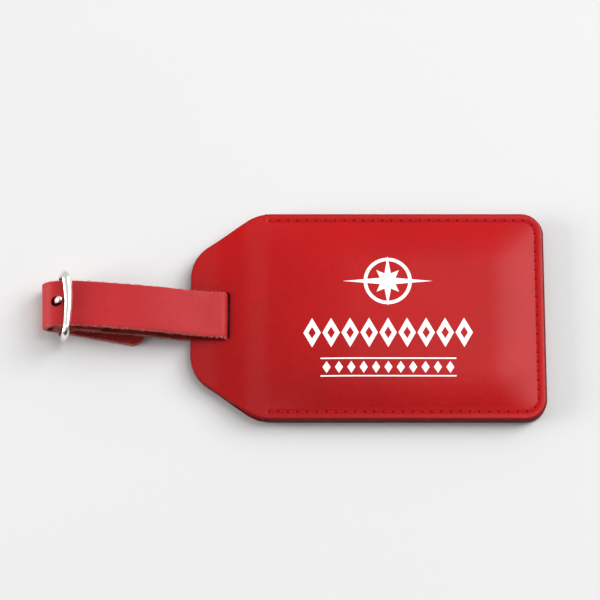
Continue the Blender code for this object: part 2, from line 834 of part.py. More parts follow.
def add_buckle_prong(material, pivot):
    """A flat wire hooked round the heel bar, up through the strap's hole and bent to the front bar."""
    hook = arc(-HEEL_DISTANCE, HEEL_Z, PRONG_HOOK_RADIUS, 75.0, -180.0, 12)
    rest = FRONT_BAR_X + FRONT_BAR_BOW - FRONT_BAR_HALF_WIDTH - BAR_CLEARANCE - PRONG_RADIUS
    top_x = PRONG_X + PRONG_LEAN
    shank = through(
        [
            hook[-2],
            hook[-1],
            (0.5 * (PRONG_X + top_x), 0.0, UPPER_END - 1.0 * MM),
            (top_x, 0.0, UPPER_END + HALF_STRAP + PRONG_RISE),
            (0.5 * (top_x + rest), 0.0, FRONT_BAR_Z + 0.3 * MM),
            (rest + 0.3 * MM, 0.0, FRONT_BAR_Z + 1.0 * MM),
            (rest + 1.3 * MM, 0.0, FRONT_BAR_Z + 1.4 * MM),
        ],
        3,
    )
    path = [laid(point + Vector((0.0, PRONG_SHIFT, 0.0))) for point in hook[:-1] + shank]
    radii = [(PRONG_RADIUS, PRONG_HALF_WIDTH)] * (len(path) - 3)
    radii += [(PRONG_RADIUS * share, PRONG_HALF_WIDTH * share) for share in (0.96, 0.86, 0.6)]
    across = laid(hook[-1] + Vector((0.0, 1.0 * MM, 0.0))) - laid(hook[-1])
    tube("buckle_prong", path, radii, across, material, pivot, sides=10)


def build():
    clear_scene()
    red_leather = finish_material("red_leather", (0.5, 0.012, 0.014), 0.42)
    strap_leather = finish_material("strap_leather", (0.5, 0.025, 0.03), 0.55)
    lining_cloth = finish_material("lining_cloth", (0.2, 0.015, 0.018), 0.8)
    red_thread = finish_material("red_thread", (0.45, 0.02, 0.02), 0.7)
    clear_film = finish_material("clear_film", (0.85, 0.88, 0.9), 0.1)
    card_stock = finish_material("card_stock", (0.85, 0.83, 0.78), 0.7)
    foam = finish_material("foam", (0.6, 0.58, 0.5), 0.95)
    polished_steel = finish_material("polished_steel", (0.8, 0.8, 0.82), 0.12, 1.0)

    card_slide = add_pivot("card_slide", (0.0, 0.0, CARD_BOTTOM))
    flap_fold = add_pivot("flap_fold", (FOLD_X, 0.0, FACE_TOP))
    in_slot = laid((0.0, 0.0, STRAP_AXIS_Z))
    frame_place = Vector((STRAP_X, 0.0)) - Matrix.Rotation(STRAP_YAW, 2) @ in_slot.xy
    strap_frame = add_pivot("strap_frame", (*frame_place, 0.0), STRAP_YAW)
    strap_swing = add_pivot("strap_swing", in_slot, -STRAP_YAW, strap_frame)
    tail_bend = add_pivot("tail_bend", (CURL_X, -TAIL_SHIFT, HALF_STRAP), -TAIL_YAW, strap_frame)
    heel_axis = add_pivot("heel_axis", laid((-HEEL_DISTANCE, 0.0, HEEL_Z)), HEEL_TURN, strap_frame)

    add_holder_back(red_leather, red_thread)
    add_window_frame(red_leather, red_thread)
    add_id_window(clear_film)
    add_address_card(card_stock, card_slide)
    add_flap_neck(red_leather)
    add_flap_face(red_leather, red_thread, flap_fold)
    add_flap_foam(foam, flap_fold)
    add_flap_lining(lining_cloth, red_thread, flap_fold)
    add_strap(strap_leather, red_thread, strap_swing)
    add_strap_tail(strap_leather, tail_bend)
    add_buckle_frame(polished_steel, heel_axis)
    add_buckle_prong(polished_steel, heel_axis)


build()
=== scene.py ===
"""Looks of a leather luggage tag: stitched padded flap, card holder, buckled strap and stage."""

import json
import math
import random

import bmesh
import bpy
import numpy as np
from bpy.props import FloatProperty, FloatVectorProperty, IntProperty, PointerProperty
from mathutils import Matrix, Vector
from mathutils.geometry import delaunay_2d_cdt


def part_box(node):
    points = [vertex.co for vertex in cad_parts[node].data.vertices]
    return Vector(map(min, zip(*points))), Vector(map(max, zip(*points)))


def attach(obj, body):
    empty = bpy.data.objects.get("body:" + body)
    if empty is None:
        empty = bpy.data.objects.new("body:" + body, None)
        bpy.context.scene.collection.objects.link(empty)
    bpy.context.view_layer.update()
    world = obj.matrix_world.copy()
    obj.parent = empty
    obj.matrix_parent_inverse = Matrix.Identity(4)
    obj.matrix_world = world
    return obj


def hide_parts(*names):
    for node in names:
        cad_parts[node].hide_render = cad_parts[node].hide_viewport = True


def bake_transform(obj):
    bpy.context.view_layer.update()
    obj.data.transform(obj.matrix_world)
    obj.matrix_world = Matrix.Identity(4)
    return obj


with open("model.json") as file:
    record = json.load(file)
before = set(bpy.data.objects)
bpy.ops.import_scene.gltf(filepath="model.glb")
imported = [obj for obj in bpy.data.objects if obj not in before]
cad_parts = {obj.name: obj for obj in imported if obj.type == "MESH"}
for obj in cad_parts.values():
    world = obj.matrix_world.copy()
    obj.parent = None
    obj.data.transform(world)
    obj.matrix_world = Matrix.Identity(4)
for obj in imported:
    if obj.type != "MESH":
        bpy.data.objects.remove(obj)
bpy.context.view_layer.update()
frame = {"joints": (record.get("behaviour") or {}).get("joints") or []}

bl_info = {
    "name": "Leather luggage tag",
    "version": (1, 0, 0),
    "blender": (4, 5, 0),
    "location": "3D View > Sidebar > Luggage tag",
    "description": "Builds a stitched leather luggage tag round its frame",
    "category": "Object",
}

MM = 0.001
UV_SPAN = 0.1
JOINTS = {joint["name"]: joint for joint in frame["joints"]}
BACK_LOW, BACK_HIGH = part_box("holder_back")
FACE_LOW, FACE_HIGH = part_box("flap_face")
NECK_LOW, NECK_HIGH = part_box("flap_neck")
RIM_LOW, RIM_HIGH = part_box("window_frame")
LINING_LOW, LINING_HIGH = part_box("flap_lining")
FILM_LOW, FILM_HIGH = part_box("id_window")
CARD_LOW, CARD_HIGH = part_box("address_card")
FOAM_LOW, FOAM_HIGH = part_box("flap_foam")
BUCKLE_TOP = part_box("buckle_frame")[1].z


def length(name, default, description):
    return FloatProperty(
        name=name, description=description, default=default * MM, min=0.0, unit="LENGTH", precision=5
    )


def turn(name, default, description):
    return FloatProperty(
        name=name, description=description, default=math.radians(default), unit="ROTATION", subtype="ANGLE"
    )


def colour(name, default, description):
    return FloatVectorProperty(
        name=name, description=description, default=default, size=3, min=0.0, max=1.0, subtype="COLOR"
    )


class TagBodySizes(bpy.types.PropertyGroup):
    corner_radius: length("Corner radius", 6.5, "Round of the two far corners")
    neck_length: length("Neck length", 21.0, "Length over which the tag narrows to its end")
    neck_edge: length("Neck edge", 37.6, "Width of the neck's end before its corners are rounded")
    neck_corner: length("Neck corner radius", 12.0, "Round of the neck's two corners")
    shoulder: length("Shoulder radius", 14.0, "Round where the sides turn in to the neck")
    face_leather: length("Flap leather", 1.1, "Thickness of the flap's leather")
    back_leather: length("Back leather", 1.2, "Thickness of the holder's back leather")
    edge_round: length("Edge round", 0.42, "Round of the leather's cut edges")
    pad_inset: length("Pad inset", 3.4, "Distance of the padding from the rim")
    pad_slope: length("Pad slope", 13.0, "Distance over which the padding rises")
    neck_rise: length("Neck rise", 10.0, "Length over which the neck rises over the strap")
    ear_length: length("Ear length", 4.0, "Length of the lining's square corner ears")
    outgrow: length("Outgrow", 0.45, "How far the lower layers stand out past the flap's far end")
    mouth_slope: length("Mouth slope", 27.0, "Distance over which the padding rises from the fold's side")


class TagSeamSizes(bpy.types.PropertyGroup):
    inset: length("Seam inset", 2.3, "Distance of the seam from the rim")
    start: length("Seam start", 2.0, "Distance of the seam's ends from the pocket's mouth")
    pitch: length("Stitch pitch", 2.95, "Distance between needle holes")
    thread: length("Thread radius", 0.3, "Radius of the sewing thread")
    groove: length("Seam groove", 0.2, "Depth to which the seam pulls the leather in")


class TagStrapSizes(bpy.types.PropertyGroup):
    width: length("Strap width", 14.0, "Width of the strap")
    thickness: length("Strap thickness", 1.4, "Thickness of the strap")
    upper_start: length("Upper start", 5.9, "Height of the strap's middle as it leaves the slot")
    upper_end: length("Upper end", 9.25, "Height of the strap's middle at its curl")
    arch: length("Arch", 0.9, "Rise of the upper run between the slot and the buckle")
    lower_bend: length("Lower bend", 1.3, "Radius of the strap's bend up into the slot")
    upper_bend: length("Upper bend", 1.6, "Radius of the strap's bend over the neck")
    folded_end: length("Folded end", 13.0, "Length of the end folded back round the heel bar")
    tail: length("Tail", 27.6, "Length of the free end under the buckle")
    tail_corner: length("Tail corner", 3.4, "Radius of the free end's corners")
    square: length("Square length", 2.0, "Length of strap that lies square to the slot")
    square_ease: length("Square ease", 12.0, "Length over which the strap turns askew")
    heel_turn_start: length("Heel turn start", 44.0, "Distance at which the buckle's end starts to turn")
    heel_turn_ease: length("Heel turn ease", 6.0, "Length over which the buckle's end turns")
    curl_sag: length("Curl sag", 0.45, "How far the curl sags towards its open side")
    yaw: turn("Strap yaw", -4.4, "Turn of the strap's middle in plan")
    heel_turn: turn("Heel turn", 6.5, "Turn of the buckle's end against the strap's middle")
    tail_yaw: turn("Tail yaw", 5.9, "Turn of the free end against the strap's middle")
    edge_fray: length("Edge fray", 0.09, "Unevenness of the strap's cut edges")
    fibres: IntProperty(name="Fibres", description="Loose fibres on the cut edges", default=1000, min=0)


class TagBuckleSizes(bpy.types.PropertyGroup):
    bar: length("Bar radius", 1.1, "Radius of the heel bar and the arms")
    front_bar: length("Front bar half width", 1.3, "Half of the front bar's broader width")
    bow: length("Front bar bow", 0.8, "How far the front bar's middle bows outwards")
    lean: length("Lean", 1.9, "How far the front bar stands from over the heel bar")
    side_clearance: length("Side clearance", 1.8, "Gap between the strap's edge and each arm")
    shift: length("Shift", 0.4, "How far the buckle has slipped along its heel bar")
    corner: length("Buckle corner", 2.4, "Corner radius of the buckle's frame")
    prong: length("Prong half thickness", 0.65, "Half thickness of the prong's flat wire")
    prong_width: length("Prong half width", 1.1, "Half width of the prong's flat wire")
    prong_shift: length("Prong shift", 0.6, "How far the prong has slipped along the heel bar")
    prong_lean: length("Prong lean", 0.7, "How far the prong leans towards the front bar")
    prong_gap: length("Prong gap", 0.2, "Gap between the heel bar and the prong's hook")


class TagPrintSizes(bpy.types.PropertyGroup):
    centre_x: length("Print centre", 6.4, "Middle of the print along the tag")
    star_width: length("Star width", 28.0, "Width of the compass star")
    star_height: length("Star height", 16.0, "Height of the compass star")
    row_width: length("Row width", 53.0, "Width of the row of lozenges")
    row_height: length("Row height", 9.4, "Height of the row of lozenges")
    rule_width: length("Rule width", 42.0, "Width of the beaded rule")
    foil: length("Foil", 0.05, "Thickness of the printed foil over the leather")


class TagColours(bpy.types.PropertyGroup):
    leather: colour("Leather", (0.48, 0.004, 0.006), "Red of the tag's smooth leather")
    # Dark red for the leather's own darker tone, and also for painted shade in the seams, the strap's creases
    # and towards the neck.
    dark_leather_and_shade: colour("Deep leather", (0.32, 0.002, 0.003), "Red in the leather's hollows")
    strap: colour("Strap leather", (0.58, 0.024, 0.034), "Red of the strap's leather")
    flesh: colour("Flesh side", (0.25, 0.018, 0.013), "Suede of the strap's inner side")
    fibre: colour("Cut fibre", (0.70, 0.27, 0.22), "Pale fibres of the cut edges")
    edge: colour("Edge paint", (0.10, 0.022, 0.024), "Dark paint of the tag's cut edges")
    lining: colour("Lining", (0.23, 0.008, 0.011), "Lining leather behind the flap")
    thread: colour("Thread", (0.62, 0.010, 0.014), "Red sewing thread")
    metal: colour("Metal", (0.90, 0.88, 0.84), "Bright nickel of the buckle")
    foil: colour("Foil", (0.93, 0.92, 0.90), "White printed foil")
    card: colour("Card", (0.82, 0.80, 0.74), "Insert card")
    floor: colour("Floor", (0.69, 0.69, 0.69), "Pale table top")


class TagSettings(bpy.types.PropertyGroup):
    body: PointerProperty(type=TagBodySizes)
    seam: PointerProperty(type=TagSeamSizes)
    strap: PointerProperty(type=TagStrapSizes)
    buckle: PointerProperty(type=TagBuckleSizes)
    print: PointerProperty(type=TagPrintSizes)
    colours: PointerProperty(type=TagColours)


def settings():
    return bpy.context.scene.luggage_tag


# Shader maths


class Wire:
    """A socket of a shader tree, on which Python's operators add Math nodes."""

    def __init__(self, paint, socket):
        self.paint = paint
        self.socket = socket

    def maths(self, operation, *operands):
        places = dict(enumerate(operands))
        return self.paint.node("ShaderNodeMath", {"operation": operation}, places)

    def __add__(self, other):
        return self.maths("ADD", self, other)

    def __radd__(self, other):
        return self.maths("ADD", other, self)

    def __sub__(self, other):
        return self.maths("SUBTRACT", self, other)

    def __rsub__(self, other):
        return self.maths("SUBTRACT", other, self)

    def __mul__(self, other):
        return self.maths("MULTIPLY", self, other)

    def __rmul__(self, other):
        return self.maths("MULTIPLY", other, self)

    def __pow__(self, other):
        return self.maths("POWER", self, other)

    def fraction(self):
        return self.maths("FRACT", self)

    def size(self):
        return self.maths("ABSOLUTE", self)

    def wave(self):
        return self.maths("SINE", self)

    def lower(self, other):
        return self.maths("MINIMUM", self, other)

    def step(self, low, high):
        """0 below low, 1 above high and smooth between; low may be the greater."""
        ranges = {"Value": self, "From Min": low, "From Max": high}
        return self.paint.node("ShaderNodeMapRange", {"interpolation_type": "SMOOTHSTEP"}, ranges)


class Paint:
    """A node material on one Principled shader."""

    def __init__(self, name):
        self.material = bpy.data.materials.new(name)
        self.material.use_nodes = True
        self.tree = self.material.node_tree
        self.shader = self.tree.nodes["Principled BSDF"]

    def node(self, kind, options=None, sockets=None, output=0):
        made = self.tree.nodes.new(kind)
        for option, value in (options or {}).items():
            setattr(made, option, value)
        for place, value in (sockets or {}).items():
            self.feed(made.inputs[place], value)
        return Wire(self, made.outputs[output])

    def feed(self, socket, value):
        if isinstance(value, Wire):
            self.tree.links.new(value.socket, socket)
        elif hasattr(value, "__len__") and len(value) == 3 and len(socket.default_value) == 4:
            socket.default_value = (*value, 1.0)
        else:
            socket.default_value = value

    def mix(self, factor, first, second):
        return self.node("ShaderNodeMix", {"data_type": "RGBA"}, {0: factor, 6: first, 7: second}, 2)

    def place(self):
        """The piece's own flat coordinates, one unit for each 100 mm."""
        return self.node("ShaderNodeUVMap", {"uv_map": "place"})

    def measure(self, name):
        """The three numbers that the mesh keeps at each point under this name."""
        return self.parts(self.node("ShaderNodeAttribute", {"attribute_name": name}, output=1))

    def parts(self, vector):
        """The three numbers of a vector."""
        split = self.node("ShaderNodeSeparateXYZ", None, {0: vector})
        return [Wire(self, output) for output in split.socket.node.outputs]

    def stretched(self, scale):
        return self.node(
            "ShaderNodeVectorMath", {"operation": "MULTIPLY"}, {0: self.place(), 1: scale}
        )

    def noise(self, scale, detail=3.0, roughness=0.55, where=None):
        sockets = {
            "Vector": where or self.place(),
            "Scale": scale,
            "Detail": detail,
            "Roughness": roughness,
        }
        return self.node("ShaderNodeTexNoise", None, sockets)

    def cells(self, scale, feature="F1", where=None):
        sockets = {"Vector": where or self.place(), "Scale": scale}
        return self.node("ShaderNodeTexVoronoi", {"feature": feature}, sockets)

    def finish(self, base, roughness, height=None, relief=0.0001, **rest):
        self.feed(self.shader.inputs["Base Color"], base)
        self.feed(self.shader.inputs["Roughness"], roughness)
        for name, value in rest.items():
            self.feed(self.shader.inputs[name.replace("_", " ")], value)
        if height is not None:
            sockets = {"Strength": 1.0, "Distance": relief, "Height": height}
            self.feed(self.shader.inputs["Normal"], self.node("ShaderNodeBump", None, sockets))
        return self.material


def smooth_leather(name, bright, deep, gloss, holes=True):
    """Smooth finished leather: fine pebbled pores, faint creases and needle holes painted dark as
    painted shade. It is painted darker towards the neck and the near side, as painted shade."""
    paint = Paint(name)
    clouds = paint.noise(4.0, 4.0)
    pores = paint.cells(230.0, "SMOOTH_F1")
    pebbles = paint.noise(420.0, 2.0)
    creases = paint.noise(38.0, 6.0, 0.7)
    tone = clouds.step(0.25, 0.75) * 0.30 + pores * 0.16 + creases.step(0.6, 0.42) * 0.10
    across, up, _height = paint.parts(paint.place())
    # Painted shade: the leather's colour is darkened towards the neck and the near side.
    painted_shade_slope = (across * 0.55 + up * 0.85) * (UV_SPAN / MM)
    tone = tone + painted_shade_slope.step(6.0, -42.0) * 0.75
    base = paint.mix(tone.lower(1.0), bright, deep)
    height = pores * -0.5 + pebbles * 0.35 + creases * 0.7
    rough = gloss + 0.10 * creases + 0.06 * pores
    if holes:
        along, aside, rim = paint.measure("seam")
        nearest = ((along.fraction() - 0.5).size() - 0.5).size() * (settings().seam.pitch / MM)
        spread = (nearest * nearest + aside * aside) ** 0.5
        hole = spread.step(0.44, 0.2)
        shade = aside.step(0.9, 0.15) * 0.35
        base = paint.mix(shade, base, deep)
        # Painted shade: the needle holes are painted a near-black red, as the shade inside them.
        base = paint.mix(hole * 0.9, base, (0.17, 0.002, 0.004))
        base = paint.mix(rim.step(0.5, 0.05) * 0.55, base, settings().colours.edge)
        height = height - hole * 4.0
        rough = rough + hole * 0.6
    return paint.finish(base, rough, height, 0.00004, Specular_IOR_Level=0.3)


def painted_edge():
    """Cut edge sealed with dark paint over the leather's layers."""
    colours = settings().colours
    paint = Paint("edge_paint")
    along = paint.stretched((1.0, 1.0, 1.0))
    grain = paint.noise(90.0, 5.0, 0.7, along)
    specks = paint.noise(300.0, 2.0, 0.5, along)
    base = paint.mix(grain.step(0.35, 0.75) * 0.5, colours.edge, colours.dark_leather_and_shade)
    base = paint.mix(specks.step(0.66, 0.8) * 0.5, base, colours.fibre)
    return paint.finish(base, 0.5 + 0.2 * grain, grain + specks * 0.5, 0.00012)


def strap_grain():
    """Satin strap leather: long soft creases across, fine pores and a few pale scuffs."""
    colours = settings().colours
    paint = Paint("strap_leather")
    clouds = paint.noise(7.0, 4.0)
    pores = paint.cells(260.0, "SMOOTH_F1")
    pebbles = paint.noise(500.0, 2.0)
    across = paint.noise(30.0, 5.0, 0.65, paint.stretched((1.0, 0.22, 1.0)))
    scuffs = paint.noise(24.0, 8.0, 0.75, paint.stretched((1.0, 0.35, 1.0)))
    tone = clouds.step(0.3, 0.75) * 0.3 + pores * 0.2
    base = paint.mix(tone, colours.strap, colours.dark_leather_and_shade)
    base = paint.mix(scuffs.step(0.62, 0.78) * 0.22, base, colours.fibre)
    bent, _turn, aside = paint.measure("bend")
    crease = bent * across.step(0.48, 0.66)
    # Painted shade: the strap is painted darker in its creases where it bends.
    base = paint.mix(crease * 0.45, base, colours.dark_leather_and_shade)
    base = paint.mix(aside.step(0.55, 0.1) * 0.35, base, colours.dark_leather_and_shade)
    height = pebbles * 0.5 - pores * 0.5 + across * 0.8 - crease * 2.0
    return paint.finish(base, 0.43 + 0.14 * clouds + 0.08 * pores, height, 0.00007, Specular_IOR_Level=0.45)


def suede():
    """Flesh side of the strap: dark matted nap."""
    colours = settings().colours
    paint = Paint("flesh_side")
    nap = paint.noise(170.0, 8.0, 0.75)
    lay = paint.noise(60.0, 5.0, 0.6, paint.stretched((0.4, 1.0, 1.0)))
    base = paint.mix(nap.step(0.35, 0.8) * 0.75, colours.flesh, colours.strap)
    base = paint.mix(lay.step(0.6, 0.8) * 0.35, base, colours.fibre)
    return paint.finish(base, 0.85 + 0.1 * nap, nap + lay * 0.5, 0.0002, Sheen_Weight=0.25)


def raw_edge():
    """Raw cut edge: packed fibres in their own pale and dark colours, painted pale at their tops and dark
    where they lie deep, as painted shade.
    """
    colours = settings().colours
    paint = Paint("raw_edge")
    fine = paint.noise(240.0, 8.0, 0.8)
    broad = paint.noise(45.0, 5.0, 0.7)
    base = paint.mix(fine.step(0.4, 0.62), colours.flesh, colours.fibre)
    base = paint.mix(broad.step(0.45, 0.62) * 0.55, base, colours.dark_leather_and_shade)
    return paint.finish(base, 0.8 + 0.15 * fine, fine + broad, 0.0002, Sheen_Weight=0.2)


def fibre_material():
    colours = settings().colours
    paint = Paint("loose_fibre")
    shade = paint.noise(120.0, 2.0)
    base = paint.mix(shade.step(0.4, 0.65), colours.fibre, colours.strap)
    return paint.finish(base, 0.6 + 0.2 * shade)


def sewing_thread():
    """Twisted thread: two plies laid round each other along every stitch."""
    colours = settings().colours
    paint = Paint("sewing_thread")
    along, turn, _height = paint.parts(paint.place())
    ply = (along * 9000.0 + turn * 2.0 * math.tau).wave() * 0.5 + 0.5
    fuzz = paint.noise(900.0, 3.0)
    # Painted shade: the thread is darker in the grooves between its twisted plies.
    base = paint.mix(0.45 + ply * 0.55, colours.dark_leather_and_shade, colours.thread)
    base = paint.mix(fuzz.step(0.6, 0.8) * 0.25, base, colours.strap)
    return paint.finish(base, 0.55 + 0.2 * fuzz, ply + fuzz * 0.3, 0.00003, Specular_IOR_Level=0.2)


def polished_metal():
    """Bright nickel with hair-fine polishing lines and a few cloudy spots."""
    colours = settings().colours
    paint = Paint("polished_metal")
    haze = paint.noise(30.0, 4.0)
    lines = paint.noise(160.0, 3.0, 0.6, paint.stretched((0.15, 1.0, 1.0)))
    wear = haze.step(0.6, 0.8)
    base = paint.mix(wear * 0.2, colours.metal, (0.62, 0.58, 0.52))
    rough = 0.13 + 0.06 * wear + 0.04 * lines
    return paint.finish(base, rough, lines + haze, 0.000003, Metallic=1.0)


def white_foil():
    """Satin white foil with pin-prick gaps over the leather's pores."""
    paint = Paint("white_foil")
    speckle = paint.noise(420.0, 3.0)
    cloud = paint.noise(30.0, 3.0)
    base = paint.mix(cloud.step(0.4, 0.7) * 0.25, settings().colours.foil, (0.80, 0.78, 0.76))
    base = paint.mix(speckle.step(0.70, 0.78) * 0.5, base, settings().colours.leather)
    return paint.finish(base, 0.38 + 0.15 * cloud, speckle, 0.00003)


def card_paper():
    """Card stock with faint fibres and ruled writing lines."""
    paint = Paint("card_stock")
    fibres = paint.noise(190.0, 6.0, 0.7, paint.stretched((0.5, 1.0, 1.0)))
    across, up, _height = paint.parts(paint.place())
    line = ((up * 10.0 + 0.5).fraction() - 0.5).size().step(0.022, 0.012)
    within = up.size().step(0.19, 0.18) * (across - 0.10).size().step(0.31, 0.30)
    base = paint.mix(fibres.step(0.4, 0.7) * 0.3, settings().colours.card, (0.70, 0.67, 0.60))
    base = paint.mix(line * within, base, (0.16, 0.18, 0.24))
    return paint.finish(base, 0.7 + 0.15 * fibres, fibres, 0.00004)


def clear_film():
    """Clear flexible film with a slight haze."""
    paint = Paint("clear_film")
    haze = paint.noise(25.0, 4.0)
    base = paint.mix(haze.step(0.5, 0.8) * 0.3, (0.92, 0.94, 0.96), (0.80, 0.83, 0.86))
    rough = 0.12 + 0.12 * haze
    return paint.finish(base, rough, haze, 0.00008, Alpha=0.16 + 0.08 * haze)


def foam_material():
    """Open-cell foam."""
    paint = Paint("padding_foam")
    cell = paint.cells(160.0)
    soft = paint.noise(60.0, 4.0)
    base = paint.mix(cell.step(0.1, 0.6), (0.35, 0.33, 0.27), (0.74, 0.71, 0.62))
    return paint.finish(base, 0.9 + 0.05 * soft, cell + soft * 0.3, 0.0003)


# Outlines in plan


def rounded_loop(corners, spacing):
    """Points and inward normals round a polygon whose corners are arcs: (x, y, radius) each,
    listed anticlockwise."""
    count = len(corners)
    points, normals = [], []
    for index in range(count):
        before, corner, after = (
            Vector(corners[(index + turn) % count][:2]) for turn in (-1, 0, 1)
        )
        radius = corners[index][2]
        back_way = (before - corner).normalized()
        on_way = (after - corner).normalized()
        half_angle = back_way.angle(on_way) / 2
        sweep = math.pi - 2 * half_angle
        reach = radius / math.tan(half_angle)
        centre = corner + (back_way + on_way).normalized() * (radius / math.sin(half_angle))
        convex = (corner - before).cross(after - corner) > 0
        steps = max(2, math.ceil(sweep * radius / (0.6 * spacing)), math.ceil(sweep / 0.2))
        spoke = corner + back_way * reach - centre
        for step in range(steps + 1):
            turned = Matrix.Rotation((sweep if convex else -sweep) * step / steps, 2) @ spoke
            points.append(centre + turned)
            normals.append(-turned.normalized() if convex else turned.normalized())
        following = corners[(index + 1) % count]
        next_corner, after_next = Vector(following[:2]), Vector(corners[(index + 2) % count][:2])
        next_half = (corner - next_corner).angle(after_next - next_corner) / 2
        start = corner + on_way * reach
        end = next_corner + (corner - next_corner).normalized() * (following[2] / math.tan(next_half))
        pieces = max(1, math.floor((end - start).length / spacing))
        inward = Vector((-on_way.y, on_way.x))
        for step in range(1, pieces):
            points.append(start.lerp(end, step / pieces))
            normals.append(inward)
    return np.array(points), np.array(normals)


def box_corners(low, high, radius, inset=0.0):
    """A rectangle with round corners between two corners of a box, drawn in by inset."""
    left, right = low.x + inset, high.x - inset
    near, far = low.y + inset, high.y - inset
    return [(left, near, radius), (right, near, radius), (right, far, radius), (left, far, radius)]


def level(height):
    """A flat sheet's height field."""
    return lambda flat: np.full(len(flat), height)


def body_corners(outgrow=0.0):
    """The tag's outline; outgrow is how far a lower layer stands out past the flap's far end."""
    body = settings().body
    half = BACK_HIGH.y
    edge = body.neck_edge / 2
    left, right = BACK_LOW.x, BACK_HIGH.x + outgrow
    return [
        (left, -edge, body.neck_corner),
        (left + body.neck_length, -half, body.shoulder),
        (right, -half, body.corner_radius),
        (right, half, body.corner_radius),
        (left + body.neck_length, half, body.shoulder),
        (left, edge, body.neck_corner),
    ]


def pocket_corners(ear, outgrow=0.0):
    """The square-cornered layers: their corners at the pocket's mouth stand out by ear."""
    body = settings().body
    half = BACK_HIGH.y
    mouth = RIM_LOW.x
    turn = mouth + body.ear_length
    right = BACK_HIGH.x + outgrow
    small = 1.1 * MM
    return [
        (mouth, -half - ear, small),
        (turn, -half, 3.0 * MM),
        (right, -half, body.corner_radius),
        (right, half, body.corner_radius),
        (turn, half, 3.0 * MM),
        (mouth, half + ear, small),
    ]


def window_corners():
    """The window's opening in the holder's frame, inside the film's edge."""
    lap = 4.0 * MM
    return box_corners(FILM_LOW, FILM_HIGH, 4.0 * MM, lap)


def slot_corners():
    """The strap's slot through the neck."""
    strap = settings().strap
    clearance = 0.4 * MM
    slot_length = 2.25 * MM
    left = JOINTS["strap_swing"]["pos_m"][0] - strap.thickness / 2 - clearance
    half = strap.width / 2 + clearance
    return box_corners(Vector((left, -half)), Vector((left + slot_length, half)), 0.7 * MM)


def distance_to(points, loop, closed=True):
    """(distance, distance along) of the nearest place on a run of points, for each point."""
    starts = loop if closed else loop[:-1]
    ends = np.roll(loop, -1, axis=0) if closed else loop[1:]
    run = ends - starts
    lengths = np.linalg.norm(run, axis=1)
    travelled = np.concatenate([[0.0], np.cumsum(lengths)[:-1]])
    best = np.full(len(points), 1e9)
    along = np.zeros(len(points))
    for start, vector, size, gone in zip(starts, run, lengths, travelled):
        share = np.clip(((points - start) @ vector) / size**2, 0.0, 1.0)
        away = np.linalg.norm(points - start - share[:, None] * vector, axis=1)
        nearer = away < best
        best[nearer] = away[nearer]
        along[nearer] = gone + share[nearer] * size
    return best, along


def inside(points, loop):
    """Which points lie inside a closed run of points."""
    x, y = points[:, 0], points[:, 1]
    crossed = np.zeros(len(points), bool)
    for (x0, y0), (x1, y1) in zip(loop, np.roll(loop, -1, axis=0)):
        spans = (y0 > y) != (y1 > y)
        if y1 != y0:
            crossed ^= spans & (x < x0 + (y - y0) * (x1 - x0) / (y1 - y0))
    return crossed


def seam_line():
    """The middle of the three-sided seam in plan, from the mouth round to the mouth."""
    body, seam = settings().body, settings().seam
    start = RIM_LOW.x + seam.start
    end = BACK_HIGH.x - seam.inset
    side = BACK_HIGH.y - seam.inset
    radius = body.corner_radius - seam.inset
    corners = [(end, -side, radius), (end, side, radius), (start, side, 0.01 * MM), (start, -side, 0.01 * MM)]
    loop, _normals = rounded_loop(corners, 0.5 * MM)
    loop = loop[(np.abs(loop[:, 1]) > side - 1e-6) | (loop[:, 0] > start + 1e-6)]
    first = int(np.argmin(loop[:, 0] + 0.01 * loop[:, 1]))
    return np.roll(loop, -first, axis=0)


def smooth_step(share):
    share = np.clip(share, 0.0, 1.0)
    return share * share * (3 - 2 * share)


# Meshes


def add_piece(name, mesh, body, replaced=(), materials=()):
    made = bpy.data.objects.new(name, mesh)
    bpy.context.scene.collection.objects.link(made)
    for material in materials:
        mesh.materials.append(material)
    if body:
        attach(made, body)
    if replaced:
        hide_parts(*replaced)
    return made


def mesh_of(name, points, faces, flat=None, kinds=None, sharp=50.0):
    """A mesh of points and faces, with flat coordinates for each point and a material for each face."""
    mesh = bpy.data.meshes.new(name)
    mesh.from_pydata([tuple(point) for point in points], [], faces)
    if flat is not None:
        layer = mesh.uv_layers.new(name="place")
        corners = np.empty(len(mesh.loops), int)
        mesh.loops.foreach_get("vertex_index", corners)
        layer.data.foreach_set("uv", np.asarray(flat, float)[corners].ravel())
    if kinds is not None:
        mesh.polygons.foreach_set("material_index", kinds)
    outward = bmesh.new()
    outward.from_mesh(mesh)
    bmesh.ops.recalc_face_normals(outward, faces=outward.faces)
    outward.to_mesh(mesh)
    outward.free()
    mesh.shade_smooth()
    mesh.set_sharp_from_angle(angle=math.radians(sharp))
    return mesh


def keep_measure(mesh, name, values):
    attribute = mesh.attributes.new(name, "FLOAT_VECTOR", "POINT")
    attribute.data.foreach_set("vector", np.asarray(values, np.float32).ravel())


def grid_points(low, high, grid):
    """Places on a square grid over a rectangle."""
    xs, ys = np.arange(low[0], high[0], grid), np.arange(low[1], high[1], grid)
    return np.array([(x, y) for x in xs for y in ys])


